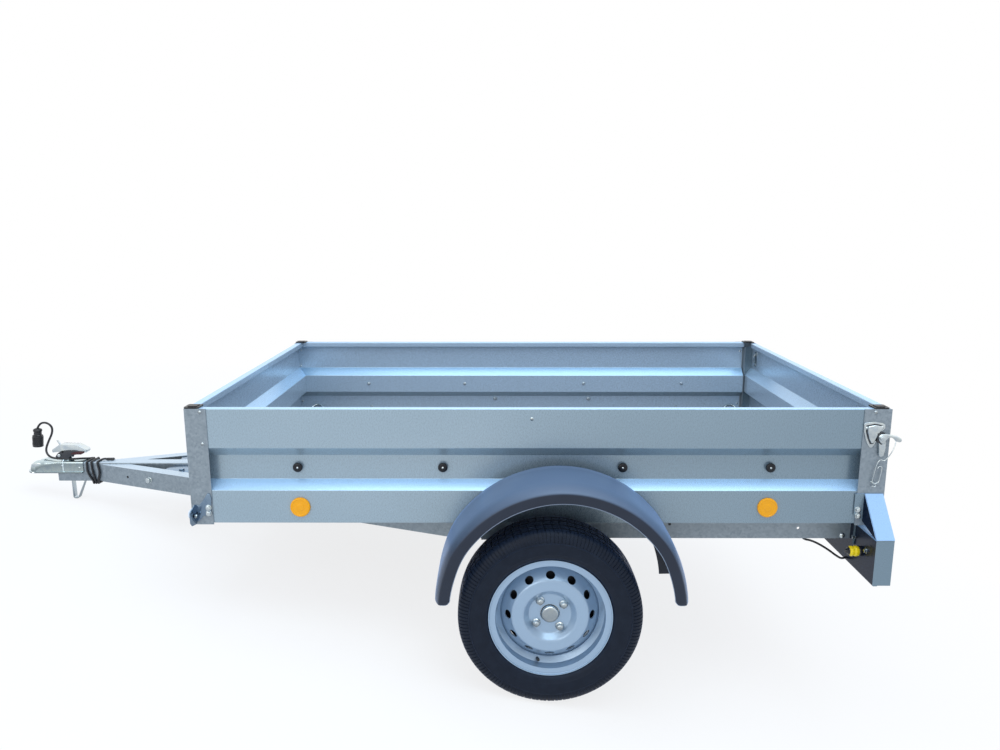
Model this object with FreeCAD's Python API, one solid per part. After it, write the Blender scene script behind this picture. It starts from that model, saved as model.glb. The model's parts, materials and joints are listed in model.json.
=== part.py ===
import FreeCAD, Part
import math
import os

# Single-axle utility trailer with a folded sheet-steel box.
# Everything is drawn level, as it is towed: +X to the tail, +Y to the right-hand side,
# +Z up, the axle at x = 0 and the road at z = 0. At the end the whole trailer is
# tipped about its axle until the rest loop under the drawbar meets the ground.

# Wheel
tyre_radius = 273.5
tyre_width = 155.0
tyre_wall = 9.0
tyre_wall_steps = 4
tyre_wall_bulge = 7.0
tread_half_width = 56.0
tread_crown = 1.5
tyre_shoulder_drop = 12.0
bead_width = 12.0
rim_seat_radius = 165.0
rim_flange_height = 17.5
rim_flange_width = 7.0
rim_half_width = 57.0
rim_sheet = 2.6
rim_well_depth = 15.0
rim_well_inner = -26.0
rim_well_outer = 16.0
rim_well_ramp = 13.0
disc_sheet = 3.6
disc_face_offset = 30.0
disc_bore_radius = 29.0
disc_dish_radius = 62.0
disc_crown_rise = 21.0
disc_crown_inner = 80.0
disc_crown_outer = 112.0
disc_foot_offset = 17.0
disc_foot_radius = 143.0
disc_band_width = 21.0
disc_bend = 7.0
vent_count = 12
vent_diameter = 27.0
vent_share = 0.42
bolt_circle_radius = 50.0
bolt_count = 4
bolt_first_angle = 54.0
bolt_shank_radius = 6.0
bolt_hole_radius = 6.8
bolt_head_radius = 10.5
bolt_head_height = 12.0
hub_radius = 60.0
hub_flange = 10.0
hub_barrel_radius = 31.0
hub_barrel_length = 66.0
grease_cap_radius = 26.0
grease_cap_front = 43.0
grease_cap_round = 7.0

# Axle
track_beyond_box = 125.0
axle_tube_size = 60.0
axle_tube_wall = 4.0
axle_tube_round = 8.0
axle_lead = 150.0
axle_beyond_box = 2.0
saddle_length = 120.0
saddle_sheet = 6.0
arm_thickness = 25.0
arm_width = 56.0
stub_radius = 19.0

# Box
box_front = -1106.0
box_rear = 1034.0
box_half_width = 668.0
box_bottom = 492.0
box_top = 858.0
sheet = 1.5
bend_radius = 2.0
rim_fold_depth = 25.0
rim_fold_drop = 22.0
rib_depth = 36.0
rib_slope_top_drop = 124.0
rib_face_top_drop = 156.0
rib_face_bottom_drop = 233.0
rib_slope_bottom_drop = 260.0
floor_flange = 28.0
floor_thickness = 9.0
post_sheet = 2.0
post_foot = 4.0
front_post_width = 67.0
rear_post_width = 83.0
post_front_leg = 60.0
stop_flange = 30.0
cap_size = 46.0
cap_height = 4.0
cap_pad_inset = 9.0
cap_pad_height = 2.0
cap_round = 6.0

# Tailgate
gate_gap = 5.0
gate_bottom_gap = 8.0
gate_notch = 52.0
hinge_set_back = 12.0
hinge_drop = 4.0
hinge_pin_radius = 4.0
hinge_barrel_radius = 7.0
hinge_barrel_length = 28.0
hinge_end_inset = 198.0
hinge_leaf = 3.0
hinge_leaf_height = 44.0
hinge_leaf_reach = 30.0
hinge_play = 0.3
hinge_side_play = 1.0
sill_thickness = 4.0
sill_inset = 2.0

# Chassis
rail_bottom = 407.0
rail_height = 70.0
rail_flange = 45.0
rail_sheet = 2.5
rail_inset = 88.0
rail_bend_inset = 812.0
rail_end_inset = 52.0
rail_nose_inset = 172.0
rail_nose_half = 28.0
rail_hole_radius = 4.5
rail_hole_insets = (221.0, 654.0)
tube_half_width = 25.0
tube_top = 483.0
tube_wall = 3.0
tube_round = 6.0
tube_front_inset = 84.0
cross_count = 5
cross_width = 60.0
cross_sheet = 2.0
cross_front_inset = 46.0
cross_rear_inset = 94.0
cross_beyond_rail = 20.0
gusset_front_inset = 334.0
gusset_length = 110.0
gusset_height = 33.0
gusset_sheet = 3.0

# Coupling
ball_beyond_box = 872.0
ball_radius = 25.0
socket_play = 0.4
ball_z = 452.0
head_length = 187.0
head_sheet = 4.0
head_cup_radius = 33.0
head_skirt_top = 449.0
head_skirt_sheet = 5.0
head_skirt_lip = 6.0
head_hump_half = 34.0
head_hump_top = 496.0
head_hump_share = 0.18
head_hump_round = 24.0
head_rear_round = 7.0
handle_length = 140.0
handle_beyond_head = 15.0
handle_low = 522.0
handle_crown = 554.0
handle_sheet = 3.0
handle_half_width = 17.0
handle_round = 9.0
yoke_inset = 40.0
yoke_width = 24.0
yoke_half_gap = 9.0
yoke_sheet = 4.0
yoke_pin_radius = 4.5
catch_height = 14.0
catch_width = 6.0
loop_inset = 126.0
loop_bottom_run = 20.0
loop_rear_reach = 56.0
loop_low_z = 330.0
loop_strip = 4.0
loop_bend = 5.0
loop_wide_half = 13.0
loop_narrow_half = 5.0

# Fender, its profile given as half length and height from the top down to the foot
fender_x = 32.5
fender_z = 318.0
fender_profile = ((0.0, 681.0), (150.0, 650.0), (256.0, 590.0), (332.0, 503.0), (354.0, 428.0),
                  (365.0, 353.0), (371.0, 314.0))
fender_foot_z = 326.0
fender_sheet = 3.5
fender_beyond_box = 210.0
fender_crown_inset = 2.0
fender_crease_inset = 16.0
fender_bevel_width = 28.0
fender_lip_inset = 47.0
fender_foot_round = 14.0
fender_flange = 34.0

# Lamp bar and rear lamps
bar_inset = 46.0
bar_depth = 55.0
bar_beyond_box = 72.0
bar_bottom = 319.0
bar_top = 467.0
bar_lip = 15.0
bar_sheet = 2.0
bar_bend = 2.0
rail_plate_half = 44.0
rail_plate_drop = 10.0
carrier_top = 591.0
carrier_low = 503.0
carrier_front_inset = 60.0
carrier_flange = 30.0
carrier_flange_rise = 20.0
carrier_lean = 14.0
lamp_width = 220.0
lamp_height = 132.0
lamp_base_depth = 18.0
lamp_depth = 50.0
lamp_round = 12.0
lamp_lens_inset = 3.0
lamp_end_inset = 8.0
connector_radius = 17.0
connector_length = 45.0
connector_inset = 90.0
connector_neck_radius = 11.0
connector_neck_length = 12.0

# Reflectors, brackets, knobs, rings and latches
reflector_radius = 31.0
reflector_depth = 7.0
reflector_bevel = 3.0
reflector_front_inset = 339.0
reflector_rear_inset = 356.0
reflector_z = 545.0
front_plate_sheet = 2.5
front_flange_insets = (18.0, 66.0)
front_flange_top = 556.0
front_flange_low = 505.0
front_lobe_inset = 40.0
front_lobe_top = 588.0
front_wing_lean = 8.0
front_wing_reach = 34.0
front_reflector_radius = 15.0
front_reflector_depth = 6.0
knob_radius = 15.0
knob_stem_radius = 8.0
knob_stem_depth = 6.0
knob_depth = 15.0
knob_round = 4.0
knob_front_insets = (329.0, 780.0)
knob_rear_insets = (344.0, 802.0)
knob_z = 664.0
ring_radius = 30.0
ring_wire = 4.0
ring_lean = 40.0
ring_front_inset = 84.0
ring_rear_inset = 96.0
ring_foot_length = 52.0
ring_foot_width = 24.0
ring_foot_sheet = 3.0
ring_strap_half = 9.0
ring_strap_radius = 8.0
latch_sheet = 3.0
latch_lever_thickness = 14.0
latch_tongue_thickness = 8.0
shield_line = ((-83, -48), (-52, -40), (-20, -47), (-18, -59), (-28, -68), (-33, -81),
               (-49, -115), (-58, -120), (-70, -101), (-80, -70))
lever_line = ((-37, -82), (-23, -75), (-7, -76), (4, -80), (24, -84), (30, -95), (21, -100),
              (2, -90), (-12, -92), (-20, -98))
tongue_line = ((-38, -96), (-16, -96), (-13, -148), (-29, -148))

# Lead, its points measured from the ball's centre
lead_diameter = 8.0
turn_tops = (0.0, 18.0, 42.0)
turn_bottoms = (20.0, 29.0, 38.0)
turn_behind_head = 16.5
turn_slack = 3.0
turn_gap = 0.4
turn_bend = 10.0
plug_body_radius = 19.0
plug_body_length = 46.0
plug_neck_radius = 14.0
plug_neck_length = 28.0
plug_collar_radius = 16.0
plug_collar_length = 6.0
plug_lean = 0.08
plug_seat = 1.5
lead_straight_share = 0.45
lead_points = (
    (198.5, -3.0, 37.5),
    (172.0, -9.0, 43.5),
    (134.0, -17.0, 43.0),
    (90.0, -21.0, 46.0),
    (52.0, -16.0, 50.0),
    (32.0, -6.0, 74.0),
    (44.0, 1.0, 110.0),
    (62.0, 4.0, 144.0),
    (60.0, 3.0, 170.0),
    (38.0, 1.0, 187.0),
    (13.0, 0.0, 180.0),
    (4.0, 0.0, 158.0),
)

seat_gap = 0.3
tiny = 0.01
far = 2000.0

V = FreeCAD.Vector
axle_z = tyre_radius
ball_x = box_front - ball_beyond_box
track_half = box_half_width + track_beyond_box
fender_outer_y = box_half_width + fender_beyond_box
bar_x = box_rear - bar_inset
bar_half_width = box_half_width + bar_beyond_box
rail_top = rail_bottom + rail_height
rail_half_spread = box_half_width - rail_inset
rail_bend_x = box_front + rail_bend_inset
rail_end_x = box_rear - rail_end_inset
tube_front_x = ball_x + tube_front_inset
rail_nose_x = tube_front_x + rail_nose_inset
head_rear_x = ball_x + head_length
cross_first = box_front + cross_front_inset
cross_pitch = (box_rear - cross_rear_inset - cross_first) / (cross_count - 1)
cross_places = [cross_first + index * cross_pitch for index in range(cross_count)]
tube_rear_x = cross_first - cross_width / 2 - seat_gap
axle_tube_z = rail_bottom - saddle_sheet - axle_tube_size / 2 - seat_gap
arm_y = -(box_half_width + axle_beyond_box + seat_gap)
panel_half = box_half_width - post_sheet - seat_gap
panel_front = box_front + post_sheet + seat_gap
stop_x = box_rear - rib_depth - post_sheet - gate_gap
panel_rear = stop_x - gate_gap
post_face = -box_half_width - seat_gap
gate_half = box_half_width - post_sheet - gate_gap
floor_low = box_bottom + sheet + seat_gap
floor_top = floor_low + floor_thickness
sill_top = rail_top + seat_gap + sill_thickness
hinge_x = box_rear + hinge_set_back
hinge_z = box_bottom - hinge_drop
hinge_end = box_half_width - hinge_end_inset
loop_front_x = ball_x + loop_inset
loop_radius = loop_bend + loop_strip


def box(x0, x1, y0, y1, z0, z1):
    return Part.makeBox(x1 - x0, y1 - y0, z1 - z0, V(x0, y0, z0))


def rod(start, end, radius):
    way = end - start
    return Part.makeCylinder(radius, way.Length, start, way)


def plate(points, thickness):
    """Flat plate through space points, thickened along its normal."""
    face = Part.Face(Part.makePolygon(points + [points[0]]))
    way = (points[1] - points[0]).cross(points[2] - points[0]).normalize()
    return face.extrude(way * thickness)


def mirrored(shape):
    return shape.mirror(V(0, 0, 0), V(0, 1, 0))


def both_sides(shape):
    return [shape, mirrored(shape)]


def pair(shape):
    return Part.makeCompound(both_sides(shape))


def fused(shapes):
    result = shapes[0].multiFuse(shapes[1:])
    return result.removeSplitter()


def left_normal(a, b):
    dx = b[0] - a[0]
    dy = b[1] - a[1]
    length = math.hypot(dx, dy)
    return (-dy / length, dx / length)


def turns_left(a, b, c):
    return (b[0] - a[0]) * (c[1] - b[1]) > (b[1] - a[1]) * (c[0] - b[0])


def shifted_line(points, distance):
    """The open line moved to its left by a distance, with mitred corners."""
    moved = []
    last = len(points) - 1
    for index, point in enumerate(points):
        before = left_normal(points[max(index - 1, 0)], points[max(index, 1)])
        after = left_normal(points[min(index, last - 1)], points[min(index + 1, last)])
        scale = distance / (1.0 + before[0] * after[0] + before[1] * after[1])
        moved.append((point[0] + (before[0] + after[0]) * scale,
                      point[1] + (before[1] + after[1]) * scale))
    return moved


def folded_outline(points, thickness, bends):
    """Closed outline of a sheet folded along a line, thickness to the line's left.

    The bends are inside radii, one for every corner or one number for all; 0 is sharp.
    """
    count = len(points) - 2
    if not isinstance(bends, (list, tuple)):
        bends = [bends] * count
    near = [0.0]
    far_side = [0.0]
    for index, bend in enumerate(bends):
        wide = bend + thickness if bend > 0 else 0.0
        left_turn = turns_left(*points[index:index + 3])
        near.append(wide if left_turn else bend)
        far_side.append(bend if left_turn else wide)
    near.append(0.0)
    far_side.append(0.0)
    outline = list(points) + shifted_line(points, thickness)[::-1]
    return outline, near + far_side[::-1]


def rounded_wire(points, radii):
    """Closed wire through space points, each corner rounded by its own radius."""
    count = len(points)
    corners = []
    for index, corner in enumerate(points):
        radius = radii[index]
        if radius <= 0:
            corners.append((corner, None, corner))
            continue
        back = (points[index - 1] - corner).normalize()
        ahead = (points[(index + 1) % count] - corner).normalize()
        half = back.getAngle(ahead) / 2
        setback = radius / math.tan(half)
        middle = (back + ahead).normalize() * (radius / math.sin(half) - radius)
        corners.append((corner + back * setback, corner + middle, corner + ahead * setback))
    edges = []
    for index, (start, middle, end) in enumerate(corners):
        if middle is not None:
            edges.append(Part.Arc(start, middle, end).toShape())
        following = corners[(index + 1) % count][0]
        if (following - end).Length > tiny:
            edges.append(Part.makeLine(end, following))
    return Part.Wire(edges)


def flat_solid(outline, radii, place, way):
    """Flat outline, set in space by place(u, v) and extruded along a vector."""
    if not isinstance(radii, (list, tuple)):
        radii = [radii] * len(outline)
    wire = rounded_wire([place(u, v) for u, v in outline], radii)
    return Part.Face(wire).extrude(way)


def plan_solid(outline, z0, z1, radii=0.0):
    return flat_solid(outline, radii, lambda u, v: V(u, v, z0), V(0, 0, z1 - z0))


def side_solid(outline, radii, y0, y1):
    return flat_solid(outline, radii, lambda u, v: V(u, y0, v), V(0, y1 - y0, 0))


def cross_solid(outline, radii, x0, x1):
    return flat_solid(outline, radii, lambda u, v: V(x0, u, v), V(x1 - x0, 0, 0))


def rectangle(u0, u1, v0, v1):
    return [(u0, v0), (u1, v0), (u1, v1), (u0, v1)]


def square_tube(place, half_u, half_v, wall, rounding, way):
    """Rectangular hollow section with rounded corners, along a vector."""
    outer = rectangle(-half_u, half_u, -half_v, half_v)
    inner = rectangle(wall - half_u, half_u - wall, wall - half_v, half_v - wall)
    solid = flat_solid(outer, rounding, place, way)
    return solid.cut(flat_solid(inner, rounding - wall / 2, place, way))


def turned(outline, radii, angle=360.0):
    """Outline of (outward, radius) turned about the left wheel's axle line."""
    if not isinstance(radii, (list, tuple)):
        radii = [radii] * len(outline)
    wire = rounded_wire([V(0, -u, v) for u, v in outline], radii)
    return Part.Face(wire).revolve(V(0, 0, 0), V(0, 1, 0), angle)


def at_wheel(shape):
    shape.translate(V(0, -track_half, axle_z))
    return shape


def ring_places(count, radius, first_angle=0.0):
    """Points spaced round the axle line, in the plane y = 0."""
    places = []
    for index in range(count):
        angle = math.radians(first_angle + 360.0 * index / count)
        places.append(V(math.sin(angle), 0, math.cos(angle)) * radius)
    return places


# Tyre, wheel and hub
def tyre():
    bead = rim_seat_radius + 3 * seat_gap
    flange = rim_half_width - seat_gap
    half = tyre_width / 2
    low = bead + rim_flange_height + 2 * tyre_wall
    high = tyre_radius - tyre_shoulder_drop
    outer = [(flange - bead_width, bead), (flange, bead),
             (flange, bead + rim_flange_height - sheet)]
    for step in range(tyre_wall_steps + 1):
        share = step / tyre_wall_steps
        outer.append((half - tyre_wall_bulge * (2 * share - 1) ** 2, low + (high - low) * share))
    outer.append((tread_half_width, tyre_radius - tread_crown))
    outer.append((tread_half_width / 2, tyre_radius))
    inner = [(tread_half_width / 2, tyre_radius - tyre_wall),
             (half - 2 * tyre_wall, high - tyre_wall),
             (half - tyre_wall, (low + high) / 2),
             (flange - bead_width, bead + bead_width)]
    left_outer = [(-u, r) for u, r in outer[::-1]]
    left_inner = [(-u, r) for u, r in inner[::-1]]
    return at_wheel(turned(outer + left_outer + left_inner + inner, 0.0))


def wheel_barrel():
    """Rolled barrel: flanges, bead seats and a drop well."""
    seat = rim_seat_radius
    top = seat + rim_flange_height
    well = seat - rim_well_depth
    half = rim_half_width
    line = [(half + 1 + rim_flange_width, top), (half + 1, top), (half, seat),
            (rim_well_outer + rim_well_ramp, seat), (rim_well_outer, well),
            (rim_well_inner, well), (rim_well_inner - rim_well_ramp, seat),
            (-half, seat), (-half - 1, top), (-half - 1 - rim_flange_width, top)]
    bends = [bend_radius] + [0.0] * (len(line) - 4) + [bend_radius]
    outline, radii = folded_outline(line, rim_sheet, bends)
    return turned(outline, radii)


def wheel_disc():
    """Pressed disc: dished face, crown and a flank punched with round vents."""
    face = disc_face_offset
    crown = face + disc_crown_rise
    band = rim_seat_radius - rim_well_depth - rim_sheet + seat_gap
    foot = (disc_foot_offset, disc_foot_radius)
    shoulder = (crown, disc_crown_outer)
    turn_in = (disc_foot_offset - (band - disc_foot_radius), band)
    line = [(face, disc_bore_radius), (face, disc_dish_radius), (crown, disc_crown_inner),
            shoulder, foot, turn_in, (turn_in[0] - disc_band_width, band)]
    outline, radii = folded_outline(line, disc_sheet, [disc_bend] * 3 + [0.0] * 2)
    disc = turned(outline, radii)
    out, rise = left_normal(foot, shoulder)
    vent_u = shoulder[0] + (foot[0] - shoulder[0]) * vent_share
    vent_r = shoulder[1] + (foot[1] - shoulder[1]) * vent_share
    for spot in ring_places(vent_count, 1.0):
        centre = spot * vent_r - V(0, vent_u, 0)
        way = (spot * abs(rise) - V(0, abs(out), 0)) * vent_diameter
        disc = disc.cut(rod(centre - way, centre + way, vent_diameter / 2))
    for spot in ring_places(bolt_count, bolt_circle_radius, bolt_first_angle):
        disc = disc.cut(rod(spot - V(0, crown, 0), spot, bolt_hole_radius))
    return disc


def rim():
    return at_wheel(fused([wheel_barrel(), wheel_disc()]))


def hub():
    """Unbraked hub with its flange, hexagon wheel bolts and grease cap."""
    face = disc_face_offset - disc_sheet - seat_gap
    inner = face - hub_barrel_length
    outline = [(inner, 0), (inner, hub_barrel_radius), (face - hub_flange, hub_barrel_radius),
               (face - hub_flange, hub_radius), (face, hub_radius), (face, grease_cap_radius),
               (grease_cap_front, grease_cap_radius), (grease_cap_front, 0)]
    parts = [turned(outline, [0, 0, 0, 0, 0, 0, grease_cap_round, 0])]
    seat = disc_face_offset + seat_gap
    for spot in ring_places(bolt_count, bolt_circle_radius, bolt_first_angle):
        flats = []
        for corner in ring_places(6, bolt_head_radius):
            flats.append(spot + corner - V(0, seat, 0))
        head = Part.Face(Part.makePolygon(flats + [flats[0]])).extrude(V(0, -bolt_head_height, 0))
        shank = rod(spot - V(0, face - hub_flange / 2, 0), spot - V(0, seat + sheet, 0),
                    bolt_shank_radius)
        parts.extend([head, shank])
    return at_wheel(fused(parts))


def axle_tube():
    """Square tube across the chassis with a saddle plate under each rail."""
    reach = box_half_width + axle_beyond_box
    half = axle_tube_size / 2
    tube = square_tube(lambda u, v: V(u - axle_lead, -reach, v + axle_tube_z), half, half,
                       axle_tube_wall, axle_tube_round, V(0, 2 * reach, 0))
    saddle = box(-axle_lead - saddle_length / 2, -axle_lead + saddle_length / 2,
                 -rail_half_spread, rail_flange - rail_half_spread,
                 axle_tube_z + half - tiny, rail_bottom - seat_gap)
    return fused([tube] + both_sides(saddle))


def axle_arm():
    """Trailing arm and stub, hung on the end of the axle tube."""
    start = V(-axle_lead, arm_y, axle_tube_z)
    end = V(0, arm_y, axle_z)
    way = (end - start).normalize()
    across = V(-way.z, 0, way.x) * (arm_width / 2)
    arm = plate([start + across, end + across, end - across, start - across], arm_thickness)
    if arm.CenterOfMass.y > arm_y:
        arm.translate(V(0, -arm_thickness, 0))
    eye = rod(start, start - V(0, arm_thickness, 0), arm_width / 2)
    boss = rod(end, end - V(0, arm_thickness, 0), arm_width / 2)
    hub_back = track_half + disc_face_offset - disc_sheet - seat_gap - hub_barrel_length
    stub = rod(end, V(0, -(hub_back - seat_gap), axle_z), stub_radius)
    return fused([arm, eye, boss, stub])


# Folded walls, posts and floor
def wall_line(bottom, flange):
    """Section of a box wall as (depth inwards, height), from the rim fold down."""
    low_rim = box_top - rim_fold_drop
    return [(2 * sheet, low_rim), (rim_fold_depth, low_rim), (rim_fold_depth, box_top),
            (0.0, box_top), (0.0, box_top - rib_slope_top_drop),
            (rib_depth, box_top - rib_face_top_drop),
            (rib_depth, box_top - rib_face_bottom_drop),
            (0.0, box_top - rib_slope_bottom_drop), (0.0, bottom), (flange, bottom)]


def side_panel():
    """Left wall, one folded sheet with its rear end square and its front end mitred."""
    outline, radii = folded_outline(wall_line(box_bottom, floor_flange), sheet, bend_radius)
    panel = flat_solid(outline, radii, lambda d, z: V(panel_front, d - panel_half, z),
                       V(panel_rear - panel_front, 0, 0))
    reach = rib_depth + 2 * sheet
    mitre = [(panel_front, -panel_half), (panel_rear, -panel_half),
             (panel_rear, reach - panel_half), (panel_front + reach + seat_gap, reach - panel_half)]
    return panel.common(plan_solid(mitre, box_bottom - sheet, box_top + sheet))


def front_panel():
    """Front wall, the same folded section with both ends mitred."""
    outline, radii = folded_outline(wall_line(box_bottom, floor_flange), sheet, bend_radius)
    panel = flat_solid(outline, radii, lambda d, z: V(panel_front + d, -panel_half, z),
                       V(0, 2 * panel_half, 0))
    reach = rib_depth + 2 * sheet
    edge = panel_half - seat_gap
    mitre = [(panel_front, -edge), (panel_front + reach, reach - edge),
             (panel_front + reach, edge - reach), (panel_front, edge)]
    return panel.common(plan_solid(mitre, box_bottom - sheet, box_top + sheet))


def tailgate_panel():
    """Hinged rear wall with closed ends, its rim notched for the corner caps."""
    low = box_bottom + gate_bottom_gap
    line = wall_line(low, rim_fold_depth)
    outline, radii = folded_outline(line, sheet, bend_radius)
    skin = flat_solid(outline, radii, lambda d, z: V(box_rear - d, -gate_half, z),
                      V(0, 2 * gate_half, 0))
    end = box(box_rear - rib_depth, box_rear - sheet / 2, -gate_half, sheet - gate_half,
              low + sheet / 2, box_top - rim_fold_drop)
    panel = fused([skin] + both_sides(end))
    notch = box(box_rear - rib_depth - sheet, box_rear - 2 * sheet, -gate_half - sheet,
                gate_notch - gate_half, box_top - rim_fold_drop - sheet, box_top + sheet)
    return panel.cut(pair(notch))


def front_post():
    """Angle wrapped round the front corner, outside both walls."""
    line = [(box_front, post_front_leg - box_half_width), (box_front, -box_half_width),
            (box_front + front_post_width, -box_half_width)]
    outline, radii = folded_outline(line, post_sheet, seat_gap)
    return plan_solid(outline, box_bottom - post_foot, box_top, radii)


def rear_post():
    """Side leg flush with the shut tailgate, and a flange inside for it to stop on."""
    outer = -box_half_width
    leg = box(box_rear - rear_post_width, box_rear, outer, outer + post_sheet,
              box_bottom - post_foot, box_top)
    stop = box(stop_x, stop_x + post_sheet, outer + post_sheet - tiny,
               outer + stop_flange + post_sheet, box_bottom + post_foot, box_top - rim_fold_drop)
    return fused([leg, stop])


def corner_caps():
    """Moulded caps on the four corners, each with a raised pad."""
    caps = []
    rear_start = box_rear - gate_gap - 2 * sheet - cap_size
    for x0 in (box_front, rear_start):
        y0 = -box_half_width
        low = box_top + seat_gap
        top = low + cap_height
        base = plan_solid(rectangle(x0, x0 + cap_size, y0, y0 + cap_size), low, top, cap_round)
        pad = plan_solid(rectangle(x0 + cap_pad_inset, x0 + cap_size - cap_pad_inset,
                                   y0 + cap_pad_inset, y0 + cap_size - cap_pad_inset),
                         top - tiny, top + cap_pad_height, cap_round / 2)
        caps.extend(both_sides(fused([base, pad])))
    return Part.makeCompound(caps)


def floor_panel():
    edge = panel_half - sheet - bend_radius
    front = panel_front + sheet + bend_radius
    return box(front, panel_rear, -edge, edge, floor_low, floor_top)


# Hinges
def knuckle(y0, y1, radius):
    return rod(V(hinge_x, y0, hinge_z), V(hinge_x, y1, hinge_z), radius)


def hinge_sill():
    """Two fixed knuckles at each hinge with their leaves, and the pin."""
    length = hinge_barrel_length
    low = sill_top + seat_gap
    hinges = []
    for y in (-hinge_end, 0.0, hinge_end):
        parts = [knuckle(y - 2 * length, y + 2 * length, hinge_pin_radius)]
        for sign in (-1, 1):
            middle = y + sign * (length + hinge_side_play)
            parts.append(knuckle(middle - length / 2, middle + length / 2, hinge_barrel_radius))
            parts.append(box(box_rear - hinge_leaf_reach, hinge_x, middle - length / 2,
                             middle + length / 2, low, low + hinge_leaf))
        hinges.append(fused(parts))
    return Part.makeCompound(hinges)


def hinge_gate():
    """One knuckle at each hinge, on a leaf screwed to the tailgate."""
    length = hinge_barrel_length
    low = box_bottom + gate_bottom_gap
    front = box_rear + seat_gap
    hinges = []
    for y in (-hinge_end, 0.0, hinge_end):
        barrel = knuckle(y - length / 2, y + length / 2, hinge_barrel_radius)
        leaf = box(front, front + hinge_leaf, y - length / 2, y + length / 2,
                   hinge_z, low + hinge_leaf_height)
        web = box(front, hinge_x, y - length / 2, y + length / 2, hinge_z, hinge_z + hinge_leaf)
        bore = knuckle(y - length, y + length, hinge_pin_radius + hinge_play)
        hinges.append(fused([barrel, leaf, web]).cut(bore))
    return Part.makeCompound(hinges)


# Chassis
def rail_line_y(x):
    """Outer face of the left rail where it runs out from the drawbar."""
    share = (x - rail_nose_x) / (rail_bend_x - rail_nose_x)
    return -(rail_nose_half + (rail_half_spread - rail_nose_half) * share)


def rail_shape():
    """Channel that runs out from the drawbar nose and bends to lie along the box."""
    line = [(rail_nose_x, -rail_nose_half), (rail_bend_x, -rail_half_spread),
            (rail_end_x, -rail_half_spread)]
    web = plan_solid(line + shifted_line(line, rail_sheet)[::-1], rail_bottom, rail_top)
    band = line + shifted_line(line, rail_flange)[::-1]
    low = plan_solid(band, rail_bottom, rail_bottom + rail_sheet)
    high = plan_solid(band, rail_top - rail_sheet, rail_top)
    rail = fused([web, low, high])
    room = tube_half_width + seat_gap
    rail = rail.cut(box(rail_nose_x - rail_flange, 0, -room, far, 0, far))
    for inset in rail_hole_insets:
        spot = V(box_rear - inset, -rail_half_spread, rail_bottom + rail_height / 2)
        rail = rail.cut(rod(spot - V(0, rail_sheet, 0), spot + V(0, 2 * rail_sheet, 0),
                            rail_hole_radius))
    return rail


def drawbar_tube():
    half_height = (tube_top - rail_bottom) / 2
    middle = rail_bottom + half_height
    return square_tube(lambda u, v: V(tube_front_x, u, v + middle), tube_half_width, half_height,
                       tube_wall, tube_round, V(tube_rear_x - tube_front_x, 0, 0))


def drawbar_gussets():
    """Flat plates that tie each sloping rail to the side of the drawbar tube."""
    front = box_front - gusset_front_inset
    rear = front + gusset_length
    slope = (rail_half_spread - rail_nose_half) / (rail_bend_x - rail_nose_x)
    inside = rail_sheet * math.hypot(1.0, slope) + seat_gap
    tube_side = -tube_half_width - seat_gap
    outline = [(front, tube_side), (front, rail_line_y(front) + inside),
               (rear, rail_line_y(rear) + inside), (rear, tube_side)]
    low = rail_bottom + gusset_height
    return pair(plan_solid(outline, low, low + gusset_sheet))


def crossmembers():
    """Hat sections under the floor, on top of the rails."""
    parts = []
    low = rail_top + seat_gap
    crown = box_bottom - seat_gap - cross_sheet
    half = rail_half_spread + cross_beyond_rail
    for x in cross_places:
        line = [(x - cross_width / 2, low), (x - cross_width / 4, low),
                (x - cross_width / 4, crown), (x + cross_width / 4, crown),
                (x + cross_width / 4, low), (x + cross_width / 2, low)]
        outline, radii = folded_outline(line, cross_sheet, cross_sheet / 2)
        parts.append(side_solid(outline, radii, -half, half))
    return Part.makeCompound(parts)


def rear_sill():
    front = cross_places[-1] + cross_width / 2 + seat_gap
    half = rail_half_spread + cross_beyond_rail
    return box(front, box_rear - sill_inset, -half, half, rail_top + seat_gap, sill_top)


# Coupling
def arch(x, half, low, top, rounding):
    """Closed section across the coupling head, with rounded shoulders."""
    corners = [V(x, -half, low), V(x, -half, top), V(x, half, top), V(x, half, low)]
    return rounded_wire(corners, [0, rounding, rounding, 0])


def head_sections(wall):
    """The head's arches from the ball to the rear, each set in by a wall."""
    hump_x = ball_x + head_length * head_hump_share
    rear_half = tube_half_width + seat_gap + head_sheet
    rear_top = tube_top + seat_gap + head_sheet
    spots = [(ball_x, head_cup_radius, ball_z + head_cup_radius, head_hump_round),
             (hump_x, head_hump_half, head_hump_top, head_hump_round),
             (tube_front_x, rear_half, rear_top, head_rear_round),
             (head_rear_x, rear_half, rear_top, head_rear_round)]
    arches = []
    for x, half, top, rounding in spots:
        arches.append(arch(x, half - wall, head_skirt_top - head_skirt_sheet, top - wall,
                           rounding - wall))
    return arches


def coupling_head():
    """Pressed cap over the ball, running back as a saddle over the drawbar tube."""
    centre = V(ball_x, 0, ball_z)
    low = head_skirt_top - head_skirt_sheet
    body = Part.makeLoft(head_sections(0.0), True, True)
    cup = Part.makeSphere(head_cup_radius, centre)
    lip = head_cup_radius + head_skirt_lip
    skirt = box(ball_x, head_rear_x, -lip, lip, low, head_skirt_top)
    round_skirt = rod(V(ball_x, 0, low), V(ball_x, 0, head_skirt_top), lip)
    head = fused([body, cup, skirt, round_skirt])
    head = head.cut(box(ball_x - far, head_rear_x + far, -far, far, 0, low))
    start = ball_x + head_cup_radius
    hollow = Part.makeLoft(head_sections(head_sheet), True, True)
    hollow = hollow.common(box(start, head_rear_x, -far, far, 0, far))
    head = head.cut(hollow)
    inner = tube_half_width + seat_gap
    head = head.cut(box(tube_front_x, head_rear_x + far, -inner, inner, 0, tube_top + seat_gap))
    socket = ball_radius + socket_play
    head = head.cut(Part.makeSphere(socket, centre))
    return head.cut(rod(V(ball_x, 0, 0), V(ball_x, 0, ball_z), socket))


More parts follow.
